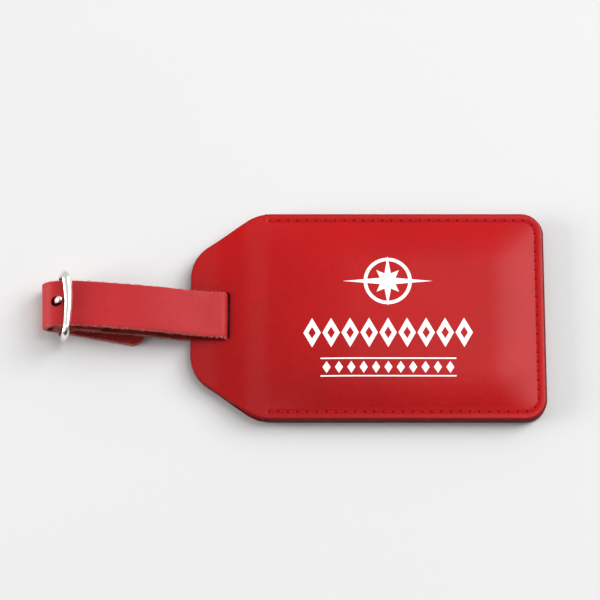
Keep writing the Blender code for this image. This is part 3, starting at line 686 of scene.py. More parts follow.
def plan_of(corners, holes, rings, grid, spacing):
    """Flat points and triangles that fill an outline, fine along its rim and round its holes."""
    loop, normals = rounded_loop(corners, spacing)
    runs = [loop]
    for distance in rings[1:]:
        runs.append(loop + normals * distance)
    edges = [(index, (index + 1) % len(loop)) for index in range(len(loop))]
    points = np.concatenate(runs)
    hole_loops = []
    for hole in holes:
        rim, inward = rounded_loop(hole, spacing)
        hole_loops.append(rim)
        first = len(points)
        edges += [(first + index, first + (index + 1) % len(rim)) for index in range(len(rim))]
        points = np.concatenate([points, rim, *[rim - inward * distance for distance in rings[1:4]]])
    low, high = loop.min(axis=0), loop.max(axis=0)
    field = grid_points(low, high, grid)
    field[::2, 1] += grid / 3
    clear = inside(field, loop) & (distance_to(field, loop)[0] > rings[-1] + grid / 2)
    for rim in hole_loops:
        clear &= ~inside(field, rim) & (distance_to(field, rim)[0] > rings[3] + grid / 2)
    points = np.concatenate([points, field[clear]])
    solved = delaunay_2d_cdt([Vector(point) for point in points], edges, [], 0, 1e-8, False)
    flat = np.array([tuple(point) for point in solved[0]])
    triangles = np.array([face for face in solved[2]])
    middles = flat[triangles].mean(axis=1)
    kept = inside(middles, loop)
    for rim in hole_loops:
        kept &= ~inside(middles, rim)
    return flat, triangles[kept], [loop, *hole_loops]


def leather_sheet(name, corners, holes, top, bottom, edge_round, grid=2.0 * MM, spacing=1.1 * MM, seam=True):
    """A cut sheet of leather between two height fields, with rounded edges on both faces."""
    rings = [0.0, 0.08, 0.2, 0.45, 0.8, 1.3, 1.75, 2.05, 2.3, 2.55, 2.9, 3.4, 4.1, 5.0]
    rings = [ring * MM for ring in rings]
    flat, triangles, loops = plan_of(corners, holes, rings, grid, spacing)
    rim = np.min([distance_to(flat, loop)[0] for loop in loops], axis=0)
    sunk = 1 - np.clip(rim / edge_round, 0.0, 1.0)
    drop = edge_round * (1 - np.sqrt(1 - sunk**2))
    count = len(flat)
    upper = np.column_stack([flat, top(flat) - drop])
    under = np.column_stack([flat, bottom(flat) + drop])
    faces = [tuple(face) for face in triangles]
    faces += [tuple(index + count for index in face[::-1]) for face in triangles]
    kinds = [0] * len(faces)
    sides = {}
    for face in triangles:
        for start, end in zip(face, np.roll(face, -1)):
            key = (min(start, end), max(start, end))
            sides[key] = None if key in sides else (start, end)
    walls = [pair for pair in sides.values() if pair is not None]
    faces += [(end, start, start + count, end + count) for start, end in walls]
    middles = np.array([(flat[start] + flat[end]) / 2 for start, end in walls])
    apart = np.array([distance_to(middles, loop)[0] for loop in loops])
    kinds += [1 if nearest == 0 else 0 for nearest in apart.argmin(axis=0)]
    points = np.concatenate([upper, under])
    place = np.concatenate([flat, flat]) / UV_SPAN
    mesh = mesh_of(name, points, faces, place, kinds)
    line = seam_line()
    aside, along = distance_to(flat, line, closed=False)
    stitches = stitch_count(line)
    total = np.linalg.norm(np.diff(line, axis=0), axis=1).sum()
    if not seam:
        aside = aside + 1.0
    measure = np.column_stack([along / total * stitches, aside / MM, rim / MM])
    keep_measure(mesh, "seam", np.concatenate([measure, measure]))
    return mesh


def stitch_count(line):
    total = np.linalg.norm(np.diff(line, axis=0), axis=1).sum()
    return round(total / settings().seam.pitch)


def tube_rings(path, radii, sides, normals):
    """Rings of points round a path; radii are (sideways, along the normal) at each point."""
    rings = []
    count = len(path)
    for index, point in enumerate(path):
        before, after = path[max(index - 1, 0)], path[min(index + 1, count - 1)]
        along = (after - before).normalized()
        up = normals[index]
        across = along.cross(up).normalized()
        up = across.cross(along).normalized()
        wide, tall = radii[index]
        angles = [math.tau * side / sides for side in range(sides)]
        rings.append(
            [point + across * (wide * math.cos(a)) + up * (tall * math.sin(a)) for a in angles]
        )
    return rings


def skin(rings, closed=False, first=0):
    """Faces round a run of rings, capped at both ends unless it closes on itself."""
    sides = len(rings[0])
    count = len(rings)
    faces = []
    for row in range(count if closed else count - 1):
        this, following = first + row * sides, first + (row + 1) % count * sides
        for side in range(sides):
            turn = (side + 1) % sides
            faces.append((this + side, following + side, following + turn, this + turn))
    if not closed:
        faces.append(tuple(first + side for side in range(sides)))
        faces.append(tuple(first + (count - 1) * sides + side for side in range(sides)))
    return faces


def stitches(name, height, side, body, replaced):
    """One row of stitches along the three-sided seam, each diving into its two needle holes.
    side is 1 on an upper face and -1 on an under face."""
    seam = settings().seam
    line = seam_line()
    steps = np.concatenate([[0.0], np.cumsum(np.linalg.norm(np.diff(line, axis=0), axis=1))])
    count = stitch_count(line)
    randomness = random.Random(7 + len(name))
    points, faces, flat = [], [], []
    rows, sides = 9, 10
    for stitch in range(count):
        lean = randomness.uniform(-0.05, 0.05) * MM
        swell = randomness.uniform(0.92, 1.08)
        path, radii, normals = [], [], []
        for row in range(rows):
            share = 0.06 + 0.88 * row / (rows - 1)
            at = (stitch + share) / count * steps[-1]
            x = np.interp(at, steps, line[:, 0])
            y = np.interp(at, steps, line[:, 1])
            rise = math.sin(math.pi * share) ** 0.45
            sink = -0.55 * MM + rise * 0.52 * MM
            path.append(Vector((x, y + lean, height + side * sink)))
            radius = seam.thread * swell * (0.62 + 0.38 * rise)
            radii.append((radius, radius * 0.9))
            normals.append(Vector((0.0, 0.0, side)))
        rings = tube_rings(path, radii, sides, normals)
        faces += skin(rings, first=len(points))
        for row, ring in enumerate(rings):
            for turn, point in enumerate(ring):
                points.append(point)
                flat.append(((stitch + row / rows) * seam.pitch / UV_SPAN, turn / sides))
    mesh = mesh_of(name, points, faces, flat, sharp=80.0)
    return add_piece(name, mesh, body, replaced, [sewing_thread()])


def block(name, corners, low, high, edge_round, body, replaced, material, grid=3.0 * MM):
    """A flat cut piece with rounded edges, such as a card, a film or a lining."""
    mesh = leather_sheet(
        name,
        corners,
        [],
        level(high),
        level(low),
        edge_round,
        grid,
        seam=False,
    )
    return add_piece(name, mesh, body, replaced, [material, material])


# Heights of the tag's own sheets


def neck_share(x):
    body = settings().body
    start = NECK_HIGH.x
    return smooth_step((start - x) / body.neck_rise)


def half_width_at(x):
    loop, _normals = rounded_loop(body_corners(), 0.5 * MM)
    upper = loop[loop[:, 1] > 0]
    upper = upper[np.argsort(upper[:, 0])]
    return np.interp(x, upper[:, 0], upper[:, 1])


def pad_share(flat):
    body, seam = settings().body, settings().seam
    x, y = flat[:, 0], flat[:, 1]
    left = RIM_LOW.x + seam.start
    right = BACK_HIGH.x - body.pad_inset
    side = half_width_at(x) - body.pad_inset
    rise_x = smooth_step((x - left) / body.mouth_slope) * smooth_step((right - x) / body.pad_slope)
    rise_y = smooth_step((side - np.abs(y)) / body.pad_slope)
    return np.sqrt(rise_x * rise_y)


def flap_bottom(flat):
    body = settings().body
    rise = FACE_HIGH.z - FACE_LOW.z - body.face_leather
    fall = FACE_LOW.z - NECK_LOW.z
    return FACE_LOW.z - fall * neck_share(flat[:, 0]) + rise * pad_share(flat)


def flap_top(flat):
    """The flap's upper face: the domed pad, the pulled-in seam and a few soft dents."""
    body, seam = settings().body, settings().seam
    aside, _along = distance_to(flat, seam_line(), closed=False)
    groove = seam.groove * np.exp(-((aside / (0.55 * MM)) ** 2))
    x, y = flat[:, 0] / MM, flat[:, 1] / MM
    dents = 0.05 * MM * np.sin(x / 9.0 + 1.3 * np.sin(y / 11.0)) * np.sin(y / 8.0 + 0.8)
    return flap_bottom(flat) + body.face_leather - groove + dents * pad_share(flat)


def back_bottom(flat):
    body = settings().body
    lift = BACK_HIGH.z - BACK_LOW.z - body.back_leather
    return BACK_LOW.z + lift * neck_share(flat[:, 0])


# Pieces


def make_flap():
    body, colours = settings().body, settings().colours
    mesh = leather_sheet(
        "flap_leather",
        body_corners(),
        [slot_corners()],
        flap_top,
        flap_bottom,
        body.edge_round,
        1.6 * MM,
        0.9 * MM,
    )
    leather = smooth_leather("flap_leather", colours.leather, colours.dark_leather_and_shade, 0.29)
    made = add_piece("flap_leather", mesh, None, (), [leather, painted_edge()])
    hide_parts("flap_face", "flap_neck")
    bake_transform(made)


def make_flap_inside():
    body, colours = settings().body, settings().colours
    ear = 0.7 * (LINING_HIGH.y - BACK_HIGH.y)
    mesh = leather_sheet(
        "flap_lining_leather",
        pocket_corners(ear, body.outgrow),
        [],
        level(LINING_HIGH.z),
        level(LINING_LOW.z),
        0.22 * MM,
        2.5 * MM,
    )
    lining = smooth_leather("lining_leather", colours.lining, colours.edge, 0.62)
    add_piece("flap_lining_leather", mesh, "flap", ["flap_lining"], [lining, painted_edge()])

    def foam_top(flat):
        thinnest, gap = 0.06 * MM, 0.3 * MM
        hollow = flap_bottom(flat) - FACE_LOW.z
        return FOAM_LOW.z + np.maximum(thinnest, hollow - gap)

    foam = leather_sheet(
        "flap_foam_pad",
        box_corners(FOAM_LOW, FOAM_HIGH, 2.5 * MM, 0.2 * MM),
        [],
        foam_top,
        level(FOAM_LOW.z),
        0.03 * MM,
        2.5 * MM,
        seam=False,
    )
    pad = add_piece("flap_foam_pad", foam, "flap", ["flap_foam"], [foam_material()] * 2)


def make_flap_seam():
    seam = settings().seam
    face_top = FACE_LOW.z + settings().body.face_leather
    stitches("flap_needle_stitches", face_top - seam.groove, 1, "flap", ["flap_needle_thread"])
    stitches("flap_bobbin_stitches", LINING_LOW.z, -1, "flap", ["flap_bobbin_thread"])


def make_holder():
    body, colours = settings().body, settings().colours
    leather = smooth_leather("holder_leather", colours.leather, colours.dark_leather_and_shade, 0.46)
    edge = painted_edge()
    mesh = leather_sheet(
        "back_leather",
        body_corners(body.outgrow),
        [slot_corners()],
        lambda flat: back_bottom(flat) + body.back_leather,
        back_bottom,
        body.edge_round,
        2.0 * MM,
    )
    add_piece("back_leather", mesh, "holder", ["holder_back"], [leather, edge])
    mesh = leather_sheet(
        "window_frame_leather",
        pocket_corners(0.25 * MM, body.outgrow),
        [window_corners()],
        level(RIM_HIGH.z),
        frame_bottom,
        0.26 * MM,
        2.0 * MM,
    )
    add_piece("window_frame_leather", mesh, "holder", ["window_frame"], [leather, edge])
    film = box_corners(FILM_LOW, FILM_HIGH, 4.0 * MM)
    rim = 0.1 * MM
    block(
        "window_film", film, FILM_LOW.z, FILM_HIGH.z, rim, "holder", ["id_window"], clear_film()
    )
    card = box_corners(CARD_LOW, CARD_HIGH, 3.0 * MM)
    paper = card_paper()
    block(
        "insert_card", card, CARD_LOW.z, CARD_HIGH.z, rim, "card", ["address_card"], paper
    )


def frame_bottom(flat):
    """Underside of the window's frame: its turned-in border is thick, and the rest is thin."""
    border = 4.0 * MM
    inner = FILM_HIGH.z + 0.25 * MM
    reach = np.minimum(BACK_HIGH.x - border - flat[:, 0], BACK_HIGH.y - border - np.abs(flat[:, 1]))
    return RIM_LOW.z + (inner - RIM_LOW.z) * smooth_step(reach / (0.3 * MM) + 0.5)


def make_holder_seam():
    stitches("holder_needle_stitches", RIM_HIGH.z - 0.1 * MM, 1, "holder", ["holder_needle_thread"])
    stitches("holder_bobbin_stitches", BACK_LOW.z + 0.33 * MM, -1, "holder", ["holder_bobbin_thread"])


# Strap, in its own frame: x from the slot, z from the table


def strap_matrix():
    """From the straight strap's frame to the world: the strap is square to the slot where it
    passes through it, and its middle lies askew."""
    swing = JOINTS["strap_swing"]["pos_m"]
    yaw = settings().strap.yaw
    _turn, shift = lie_at(0.0)
    origin = Vector((swing[0], swing[1])) - Matrix.Rotation(yaw, 2) @ Vector((0.0, shift))
    return Matrix.Translation((*origin, 0.0)) @ Matrix.Rotation(yaw, 4, "Z")


def lie_at(x):
    """(turn, shift) in plan of the strap at x: it lies square to the slot near the slot, and the
    buckle's end is turned the same way. The shift is the run of the turn, so the strap stays whole."""
    strap = settings().strap
    reach = (-x - strap.square) / strap.square_ease
    eased = min(1.0, max(0.0, reach))
    square = 1 - float(smooth_step(eased))
    square_run = strap.square_ease * (0.5 - eased + eased**3 - eased**4 / 2) + max(0.0, x + strap.square)
    reach = (-x - strap.heel_turn_start) / strap.heel_turn_ease
    eased = min(1.0, max(0.0, reach))
    heel = float(smooth_step(eased))
    heel_run = strap.heel_turn_ease * (eased**3 - eased**4 / 2 + max(0.0, reach - 1))
    slot_turn, heel_turn = math.tan(-strap.yaw), math.tan(strap.heel_turn)
    return slot_turn * square + heel_turn * heel, slot_turn * square_run - heel_turn * heel_run


def curl_lie(share):
    """(turn, shift) in plan this share of the way round the curl, from the buckle's end to the tail."""
    at = strap_places()
    start_turn, start_shift = lie_at(at["curl_x"])
    end_turn = -math.tan(settings().strap.tail_yaw)
    run = math.pi * at["curl"]
    eased = float(smooth_step((share - 0.45) / 0.55))
    shift = start_shift * (2 * share**3 - 3 * share**2 + 1)
    shift -= start_turn * run * (share**3 - 2 * share**2 + share)
    shift += at["tail_y"] * (3 * share**2 - 2 * share**3)
    shift += end_turn * run * (share**3 - share**2)
    shift -= settings().strap.curl_sag * math.sin(math.pi * share) ** 2
    return start_turn * (1 - eased) + end_turn * eased, shift


def laid(point, lie=None):
    """A point of the straight strap, moved to where the strap lies in the world."""
    turn, shift = lie or lie_at(point[0])
    return strap_matrix() @ Vector((point[0] - turn * point[1], point[1] + shift, point[2]))


def in_strap_frame(joint):
    return strap_matrix().inverted() @ Vector(JOINTS[joint]["pos_m"])


def arc(centre_x, centre_z, radius, start, end, steps):
    """Points on an arc in the strap's side view, from one angle to another in degrees."""
    points = []
    for step in range(steps + 1):
        angle = math.radians(start + (end - start) * step / steps)
        x, z = centre_x + radius * math.cos(angle), centre_z + radius * math.sin(angle)
        points.append(Vector((x, 0.0, z)))
    return points


def straight(start, end, height, steps):
    """Points between two places along the strap, without the two themselves."""
    return [Vector((start + (end - start) * step / steps, 0.0, height)) for step in range(1, steps)]


def through(points, steps):
    """A smooth run through points: Catmull-Rom, leaving out the two outermost."""
    points = [Vector(point) for point in points]
    run = []
    for first, start, end, last in zip(points, points[1:], points[2:], points[3:]):
        for step in range(steps):
            share = step / steps
            run.append(
                0.5
                * (
                    2 * start
                    + (end - first) * share
                    + (2 * first - 5 * start + 4 * end - last) * share**2
                    + (3 * start - first - 3 * end + last) * share**3
                )
            )
    run.append(points[-2])
    return run


def strap_places():
    """Heights and distances of the strap's route, from its sizes and the frame's joints."""
    strap = settings().strap
    heel = in_strap_frame("buckle_rock")
    curl = in_strap_frame("tail_bend")
    half = strap.thickness / 2
    return {
        "heel_x": heel.x,
        "heel_z": heel.z,
        "curl_x": curl.x,
        "tail_y": curl.y,
        "half": half,
        "fold": settings().buckle.bar + 0.3 * MM + half,
        "lifted": heel.z - settings().buckle.bar - 0.3 * MM - half,
        "curl": (strap.upper_end - half) / 2,
    }


def strap_route():
    strap = settings().strap
    at = strap_places()
    heel_x, heel_z, half, curl_x = at["heel_x"], at["heel_z"], at["half"], at["curl_x"]
    return_z = at["lifted"] + strap.thickness + 0.25 * MM
    fold = arc(heel_x, heel_z, at["fold"], 60.0, 270.0, 22)
    end_x = heel_x + strap.folded_end
    folded = through(
        [
            (end_x + 3.0 * MM, 0.0, return_z),
            (end_x, 0.0, return_z),
            (end_x - 6.0 * MM, 0.0, return_z + 0.03 * MM),
            (fold[0].x + 2.2 * MM, 0.0, fold[0].z - 1.25 * MM),
            fold[0],
            fold[1],
        ],
        7,
    )
    tail_end = curl_x + strap.tail
    neck_end = BACK_LOW.x - JOINTS["strap_swing"]["pos_m"][0]
    over_tail = straight(fold[-1].x, tail_end, at["lifted"], 26)
    lower = []
    for step in range(17):
        x = tail_end + (neck_end - 1.5 * MM - tail_end) * step / 16
        fall = (at["lifted"] - half) * float(smooth_step(step / 16))
        lower.append(Vector((x, 0.0, at["lifted"] - fall)))
    on_table = straight(lower[-1].x, -strap.lower_bend, half, 10)
    up = arc(-strap.lower_bend, half + strap.lower_bend, strap.lower_bend, -90.0, 0.0, 9)
    over = arc(-strap.upper_bend, strap.upper_start - strap.upper_bend, strap.upper_bend, 0.0, 78.0, 9)
    rise = strap.upper_end - strap.upper_start
    upper = through(
        [
            over[-2],
            over[-1],
            (-6.0 * MM, 0.0, strap.upper_start + 0.26 * rise),
            (0.28 * curl_x, 0.0, strap.upper_start + 0.66 * rise + 0.4 * strap.arch),
            (0.48 * curl_x, 0.0, strap.upper_start + 0.93 * rise + 0.75 * strap.arch),
            (0.68 * curl_x, 0.0, strap.upper_end + 0.75 * strap.arch),
            (0.86 * curl_x, 0.0, strap.upper_end + 0.3 * strap.arch),
            (curl_x, 0.0, strap.upper_end),
            (curl_x - 2.0 * MM, 0.0, strap.upper_end - 0.5 * MM),
        ],
        11,
    )
    route = folded[:-1] + fold + over_tail + lower + on_table + up + over[:-1] + upper[:-1]
    lies = [lie_at(point.x) for point in route]
    steps = 26
    curl = arc(curl_x, half + at["curl"], at["curl"], 90.0, 270.0, steps)
    lies += [curl_lie(step / steps) for step in range(steps + 1)]
    return route + curl, lies


def strap_section(half_width, half_thickness, round_off):
    """Offsets (across, outward) round the strap's section, and what each face between them is:
    0 the grain side, 1 the flesh side, 2 the cut edge."""
    flats = [share * (half_width - round_off) for share in np.linspace(-1, 1, 15)]
    points, kinds = [], []
    for across in flats:
        points.append((across, half_thickness))
        kinds.append(0)
    for step in (1, 2):
        angle = math.pi / 2 * (1 - step / 3)
        points.append(
            (
                half_width - round_off + round_off * math.cos(angle),
                half_thickness - round_off + round_off * math.sin(angle),
            )
        )
        kinds.append(2)
    for level in (0.45, 0.0, -0.45, -0.9):
        points.append((half_width, half_thickness * level))
        kinds.append(2)
    for across in flats[::-1]:
        points.append((across, -half_thickness))
        kinds.append(1)
    kinds[-1] = 2
    for level in (-0.9, -0.45, 0.0, 0.45):
        points.append((-half_width, half_thickness * level))
        kinds.append(2)
    for step in (2, 1):
        angle = math.pi / 2 * (1 - step / 3)
        points.append(
            (
                -half_width + round_off - round_off * math.cos(angle),
                half_thickness - round_off + round_off * math.sin(angle),
            )
        )
        kinds.append(2 if step == 2 else 0)
    return points, kinds


def band_frames(route, half_widths):
    """(point, across, outward, half width) at each point of a strap's route."""
    count = len(route)
    found = []
    for index, point in enumerate(route):
        before, after = route[max(index - 1, 0)], route[min(index + 1, count - 1)]
        along = (after - before).normalized()
        inner = Vector((-along.z, 0.0, along.x)).normalized()
        across = inner.cross(along).normalized()
        outward = across.cross(along).normalized()
        if outward.dot(inner) > 0:
            outward = -outward
        found.append((point, across, outward, half_widths[index]))
    return found


def band_mesh(name, route, half_widths, seed, lies):
    """A leather strap along a route, with softly uneven faces and frayed cut edges."""
    strap = settings().strap
    randomness = np.random.default_rng(seed)
    half_thickness = strap.thickness / 2
    frames = band_frames(route, half_widths)
    travelled = 0.0
    points, flat, measures = [], [], []
    section_size = 0
    kinds = []
    for index, (point, across, outward, half) in enumerate(frames):
        if index:
            travelled += (point - frames[index - 1][0]).length
        section, kinds = strap_section(half, half_thickness, 0.3 * MM)
        section_size = len(section)
        bend = bend_at(route, index)
        for corner, (side, out) in enumerate(section):
            cut = kinds[corner] == 2
            fray = randomness.normal(0.0, strap.edge_fray) if cut and half > 0.2 * strap.width else 0.0
            wave = 0.06 * MM * math.sin(travelled / (3.7 * MM)) * math.sin(3.0 * side / strap.width + 1.0)
            sideways = side + (math.copysign(fray, side) if cut else 0.0)
            place = point + across * sideways + outward * (out + wave * (1 if out > 0 else 0))
            seated = laid(place, lies[index])
            seated.z = max(seated.z, 0.0)
            points.append(seated)
            flat.append((travelled / UV_SPAN, (side + (out if cut else 0.0)) / UV_SPAN))
            measures.append((bend, travelled / MM, (half - abs(side)) / MM))
    count = len(frames)
    faces, materials = [], []
    for row in range(count - 1):
        for side in range(section_size):
            turn = (side + 1) % section_size
            this, following = row * section_size, (row + 1) * section_size
            faces.append((this + side, following + side, following + turn, this + turn))
            materials.append(kinds[side])
    faces.append(tuple(range(section_size)))
    faces.append(tuple(range((count - 1) * section_size, count * section_size)))
    materials += [2, 2]
    mesh = mesh_of(name, points, faces, flat, materials, sharp=40.0)
    keep_measure(mesh, "bend", measures)
    return mesh


def bend_at(route, index):
    """How sharply the route turns at a point, from 0 to 1."""
    low, high = max(index - 2, 0), min(index + 2, len(route) - 1)
    if low == index or high == index:
        return 0.0
    into, out_of = route[index] - route[low], route[high] - route[index]
    if into.length < 1e-7 or out_of.length < 1e-7:
        return 0.0
    turn = into.angle(out_of) / (0.5 * (into.length + out_of.length) / MM)
    return min(1.0, turn / 0.35)


def cut_away(target, cutter_mesh):
    """Cuts a mesh out of a piece for good."""
    cutter = bpy.data.objects.new("cutter", cutter_mesh)
    bpy.context.scene.collection.objects.link(cutter)
    modifier = target.modifiers.new("cut", "BOOLEAN")
    modifier.operation = "DIFFERENCE"
    modifier.solver = "EXACT"
    modifier.object = cutter
    graph = bpy.context.evaluated_depsgraph_get()
    cut = target.evaluated_get(graph)
    result = bpy.data.meshes.new_from_object(cut, preserve_all_data_layers=True, depsgraph=graph)
    target.modifiers.clear()
    old = target.data
    target.data = result
    bpy.data.meshes.remove(old)
    bpy.data.objects.remove(cutter)


def prism(name, outline, low, high, axis="Z"):
    """A straight-sided solid over an outline, in the strap's frame, for cutting."""
    count = len(outline)
    points = []
    for level in (low, high):
        for first, second in outline:
            points.append(laid((first, second, level) if axis == "Z" else (first, level, second)))
    faces = [tuple(range(count)), tuple(range(count, 2 * count))]
    for index in range(count):
        following = (index + 1) % count
        faces.append((index, following, count + following, count + index))
    return mesh_of(name, points, faces)


def make_strap():
    strap, buckle = settings().strap, settings().buckle
    at = strap_places()
    route, lies = strap_route()
    materials = [strap_grain(), suede(), raw_edge()]
    mesh = band_mesh("strap_leather", route, [strap.width / 2] * len(route), 3, lies)
    made = add_piece("strap_leather", mesh, None, (), materials)
    hook = buckle.bar + buckle.prong_gap + buckle.prong
    clear = at["fold"] + at["half"] + 0.3 * MM
    side = buckle.prong_width + 0.5 * MM
    shift = buckle.prong_shift
    circle = round_loop((at["heel_x"], at["heel_z"]), clear, 40)
    cut_away(made, prism("prong_slot", circle, shift - side, shift + side, "Y"))
    middle = at["heel_x"] - hook + buckle.prong_lean
    half_hole = 1.6 * MM
    low, high = Vector((middle - half_hole, shift - side)), Vector((middle + half_hole, shift + side))
    hole, _normals = rounded_loop(box_corners(low, high, 1.45 * MM), 0.4 * MM)
    hole = [tuple(point) for point in hole]
    cut_away(made, prism("prong_hole", hole, strap.upper_end - 2 * MM, strap.upper_end + 2 * MM))
    made.data.set_sharp_from_angle(angle=math.radians(40.0))
    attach(made, "strap")
    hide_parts("strap")
    make_tail(materials)
    make_strap_stitches()
    make_fibres(route, lies)


def tail_route():
    strap = settings().strap
    at = strap_places()
    start = Vector((at["curl_x"], at["tail_y"], at["half"]))
    direction = Vector((math.cos(strap.tail_yaw), -math.sin(strap.tail_yaw), 0.0))
    total, corner = strap.tail, strap.tail_corner
    turns = [math.pi / 2 * step / 12 for step in range(1, 13)]
    distances = list(np.linspace(0.0, total - corner, 38))
    distances += [total - corner * (1 - math.sin(turn)) for turn in turns]
    widths = [strap.width / 2] * 38
    widths += [strap.width / 2 - corner * (1 - math.cos(turn)) for turn in turns]
    return [start + direction * distance for distance in distances], widths


def make_tail(materials):
    route, widths = tail_route()
    mesh = band_mesh("strap_tail_leather", route, widths, 11, [(0.0, 0.0)] * len(route))
    made = add_piece("strap_tail_leather", mesh, None, (), materials)
    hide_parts("strap_tail")
    start, end = laid(route[0], (0.0, 0.0)), laid(route[6], (0.0, 0.0))
    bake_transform(made)


def make_strap_stitches():
    """The running stitch across the folded end."""
    strap, seam = settings().strap, settings().seam
    at = strap_places()
    x = at["heel_x"] + strap.folded_end - 2.5 * MM
    low = at["lifted"] - at["half"] + 0.2 * MM
    high = at["lifted"] + strap.thickness + 0.25 * MM + at["half"] - 0.2 * MM
    pitch, count = 2.5 * MM, 4
    corners = []
    for index in range(count + 1):
        y = pitch * (index - count / 2)
        pair = [(x, y, low), (x, y, high)]
        corners += pair if index % 2 == 0 else pair[::-1]
    path = []
    for start, end in zip(corners, corners[1:]):
        start, end = Vector(start), Vector(end)
        pieces = 8
        for piece in range(pieces):
            share = piece / pieces
            swell = 0.14 * MM * math.sin(math.pi * share) * (1 if start.z > at["lifted"] + at["half"] else -1)
            bulge = swell if abs(end.y - start.y) > 1e-6 else 0.0
            path.append(start.lerp(end, share) + Vector((0.0, 0.0, bulge)))
    path.append(Vector(corners[-1]))
    radii = [(seam.thread * 0.85, seam.thread * 0.85)] * len(path)
    rings = tube_rings(path, radii, 8, [Vector((1.0, 0.0, 0.0))] * len(path))
    points = [laid(point) for ring in rings for point in ring]
    flat = [(row * 0.3 * MM / UV_SPAN, turn / 8) for row in range(len(rings)) for turn in range(8)]
    mesh = mesh_of("strap_stitches", points, skin(rings), flat, sharp=80.0)
    add_piece("strap_stitches", mesh, "strap", ["strap_thread"], [sewing_thread()])


def make_fibres(route, lies):
    """Loose fibres standing out of the strap's cut edges, where the knife frayed them."""
    strap = settings().strap
    randomness = random.Random(21)
    frames = band_frames(route, [strap.width / 2] * len(route))
    material = fibre_material()
    points, faces, flat = [], [], []
    low, high = 12, len(frames) - 20
    for _fibre in range(strap.fibres):
        index = randomness.randint(low, high)
        point, across, outward, half = frames[index]
        side = -1 if randomness.random() < 0.68 else 1
        if across.y < 0:
            side = -side
        along = across.cross(outward)
        size = randomness.uniform(0.3, 0.85) * MM
        level = randomness.uniform(-0.7, 0.9) * strap.thickness / 2
        lean = randomness.uniform(-1.0, 1.0)
        lift = randomness.uniform(-0.3, 0.7)
        direction = (across * side + along * lean + outward * lift).normalized()
        curl = (along * randomness.uniform(-1, 1) + outward * randomness.uniform(-0.5, 1)).normalized()
        root = point + across * (side * (half - 0.12 * MM)) + outward * level
        path = [
            root + direction * (size * share) + curl * (0.4 * size * share**2)
            for share in (0, 0.35, 0.7, 1.0)
        ]
        if min(place.z for place in path) < 0.1 * MM:
            continue
        thickness = randomness.uniform(0.04, 0.1) * MM
        radii = [(thickness * share, thickness * share) for share in (1.0, 0.9, 0.7, 0.35)]
        rings = tube_rings(path, radii, 4, [outward] * 4)
        faces += skin(rings, first=len(points))
        for row, ring in enumerate(rings):
            for turn, place in enumerate(ring):
                points.append(laid(place, lies[index]))
                flat.append(((index + row) * 0.05, turn * 0.1))
    mesh = mesh_of("strap_edge_fibres", points, faces, flat)
    add_piece("strap_edge_fibres", mesh, "strap", (), [material])


# Buckle


def make_buckle():
    buckle, strap = settings().buckle, settings().strap
    at = strap_places()
    top = BUCKLE_TOP - buckle.bar
    foot = Vector((at["heel_x"], 0.0, at["heel_z"]))
    lean = Vector((buckle.lean, 0.0, top - at["heel_z"]))
    height = lean.length
    up = lean.normalized()
    half = strap.width / 2 + buckle.side_clearance + buckle.bar
    corners = [(0.0, -half), (height, -half), (height, half), (0.0, half)]
    loop, _normals = rounded_loop([(*corner, buckle.corner) for corner in corners], 0.7 * MM)
    normal = up.cross(Vector((0.0, 1.0, 0.0)))
    count = len(loop)
    sides = 20
    points, flat = [], []
    for index in range(count):
        share = float(smooth_step(loop[index][0] / height))
        bow = buckle.bow * share * math.cos(0.5 * math.pi * loop[index][1] / half)
        point = foot + up * loop[index][0] + Vector((bow, loop[index][1] - buckle.shift, 0.0))
        before, after = loop[index - 1], loop[(index + 1) % count]
        step = up * (after[0] - before[0]) + Vector((0.0, after[1] - before[1], 0.0))
        across = step.normalized().cross(normal)
        deep = buckle.bar + (buckle.front_bar - buckle.bar) * share
        for side in range(sides):
            angle = math.tau * side / sides
            squarish = 1 + 0.07 * math.cos(4 * angle)
            reach = across * (buckle.bar * math.cos(angle)) + normal * (deep * math.sin(angle))
            points.append(laid(point + reach * squarish))
            flat.append((index * 0.7 * MM / UV_SPAN, side / sides * 0.07))
    metal = polished_metal()
    faces = skin([range(sides)] * count, closed=True)
    mesh = mesh_of("buckle_loop", points, faces, flat, sharp=80.0)
    made = add_piece("buckle_loop", mesh, "buckle", ["buckle_frame"], [metal])
    soften(made)
    make_prong(metal, top)


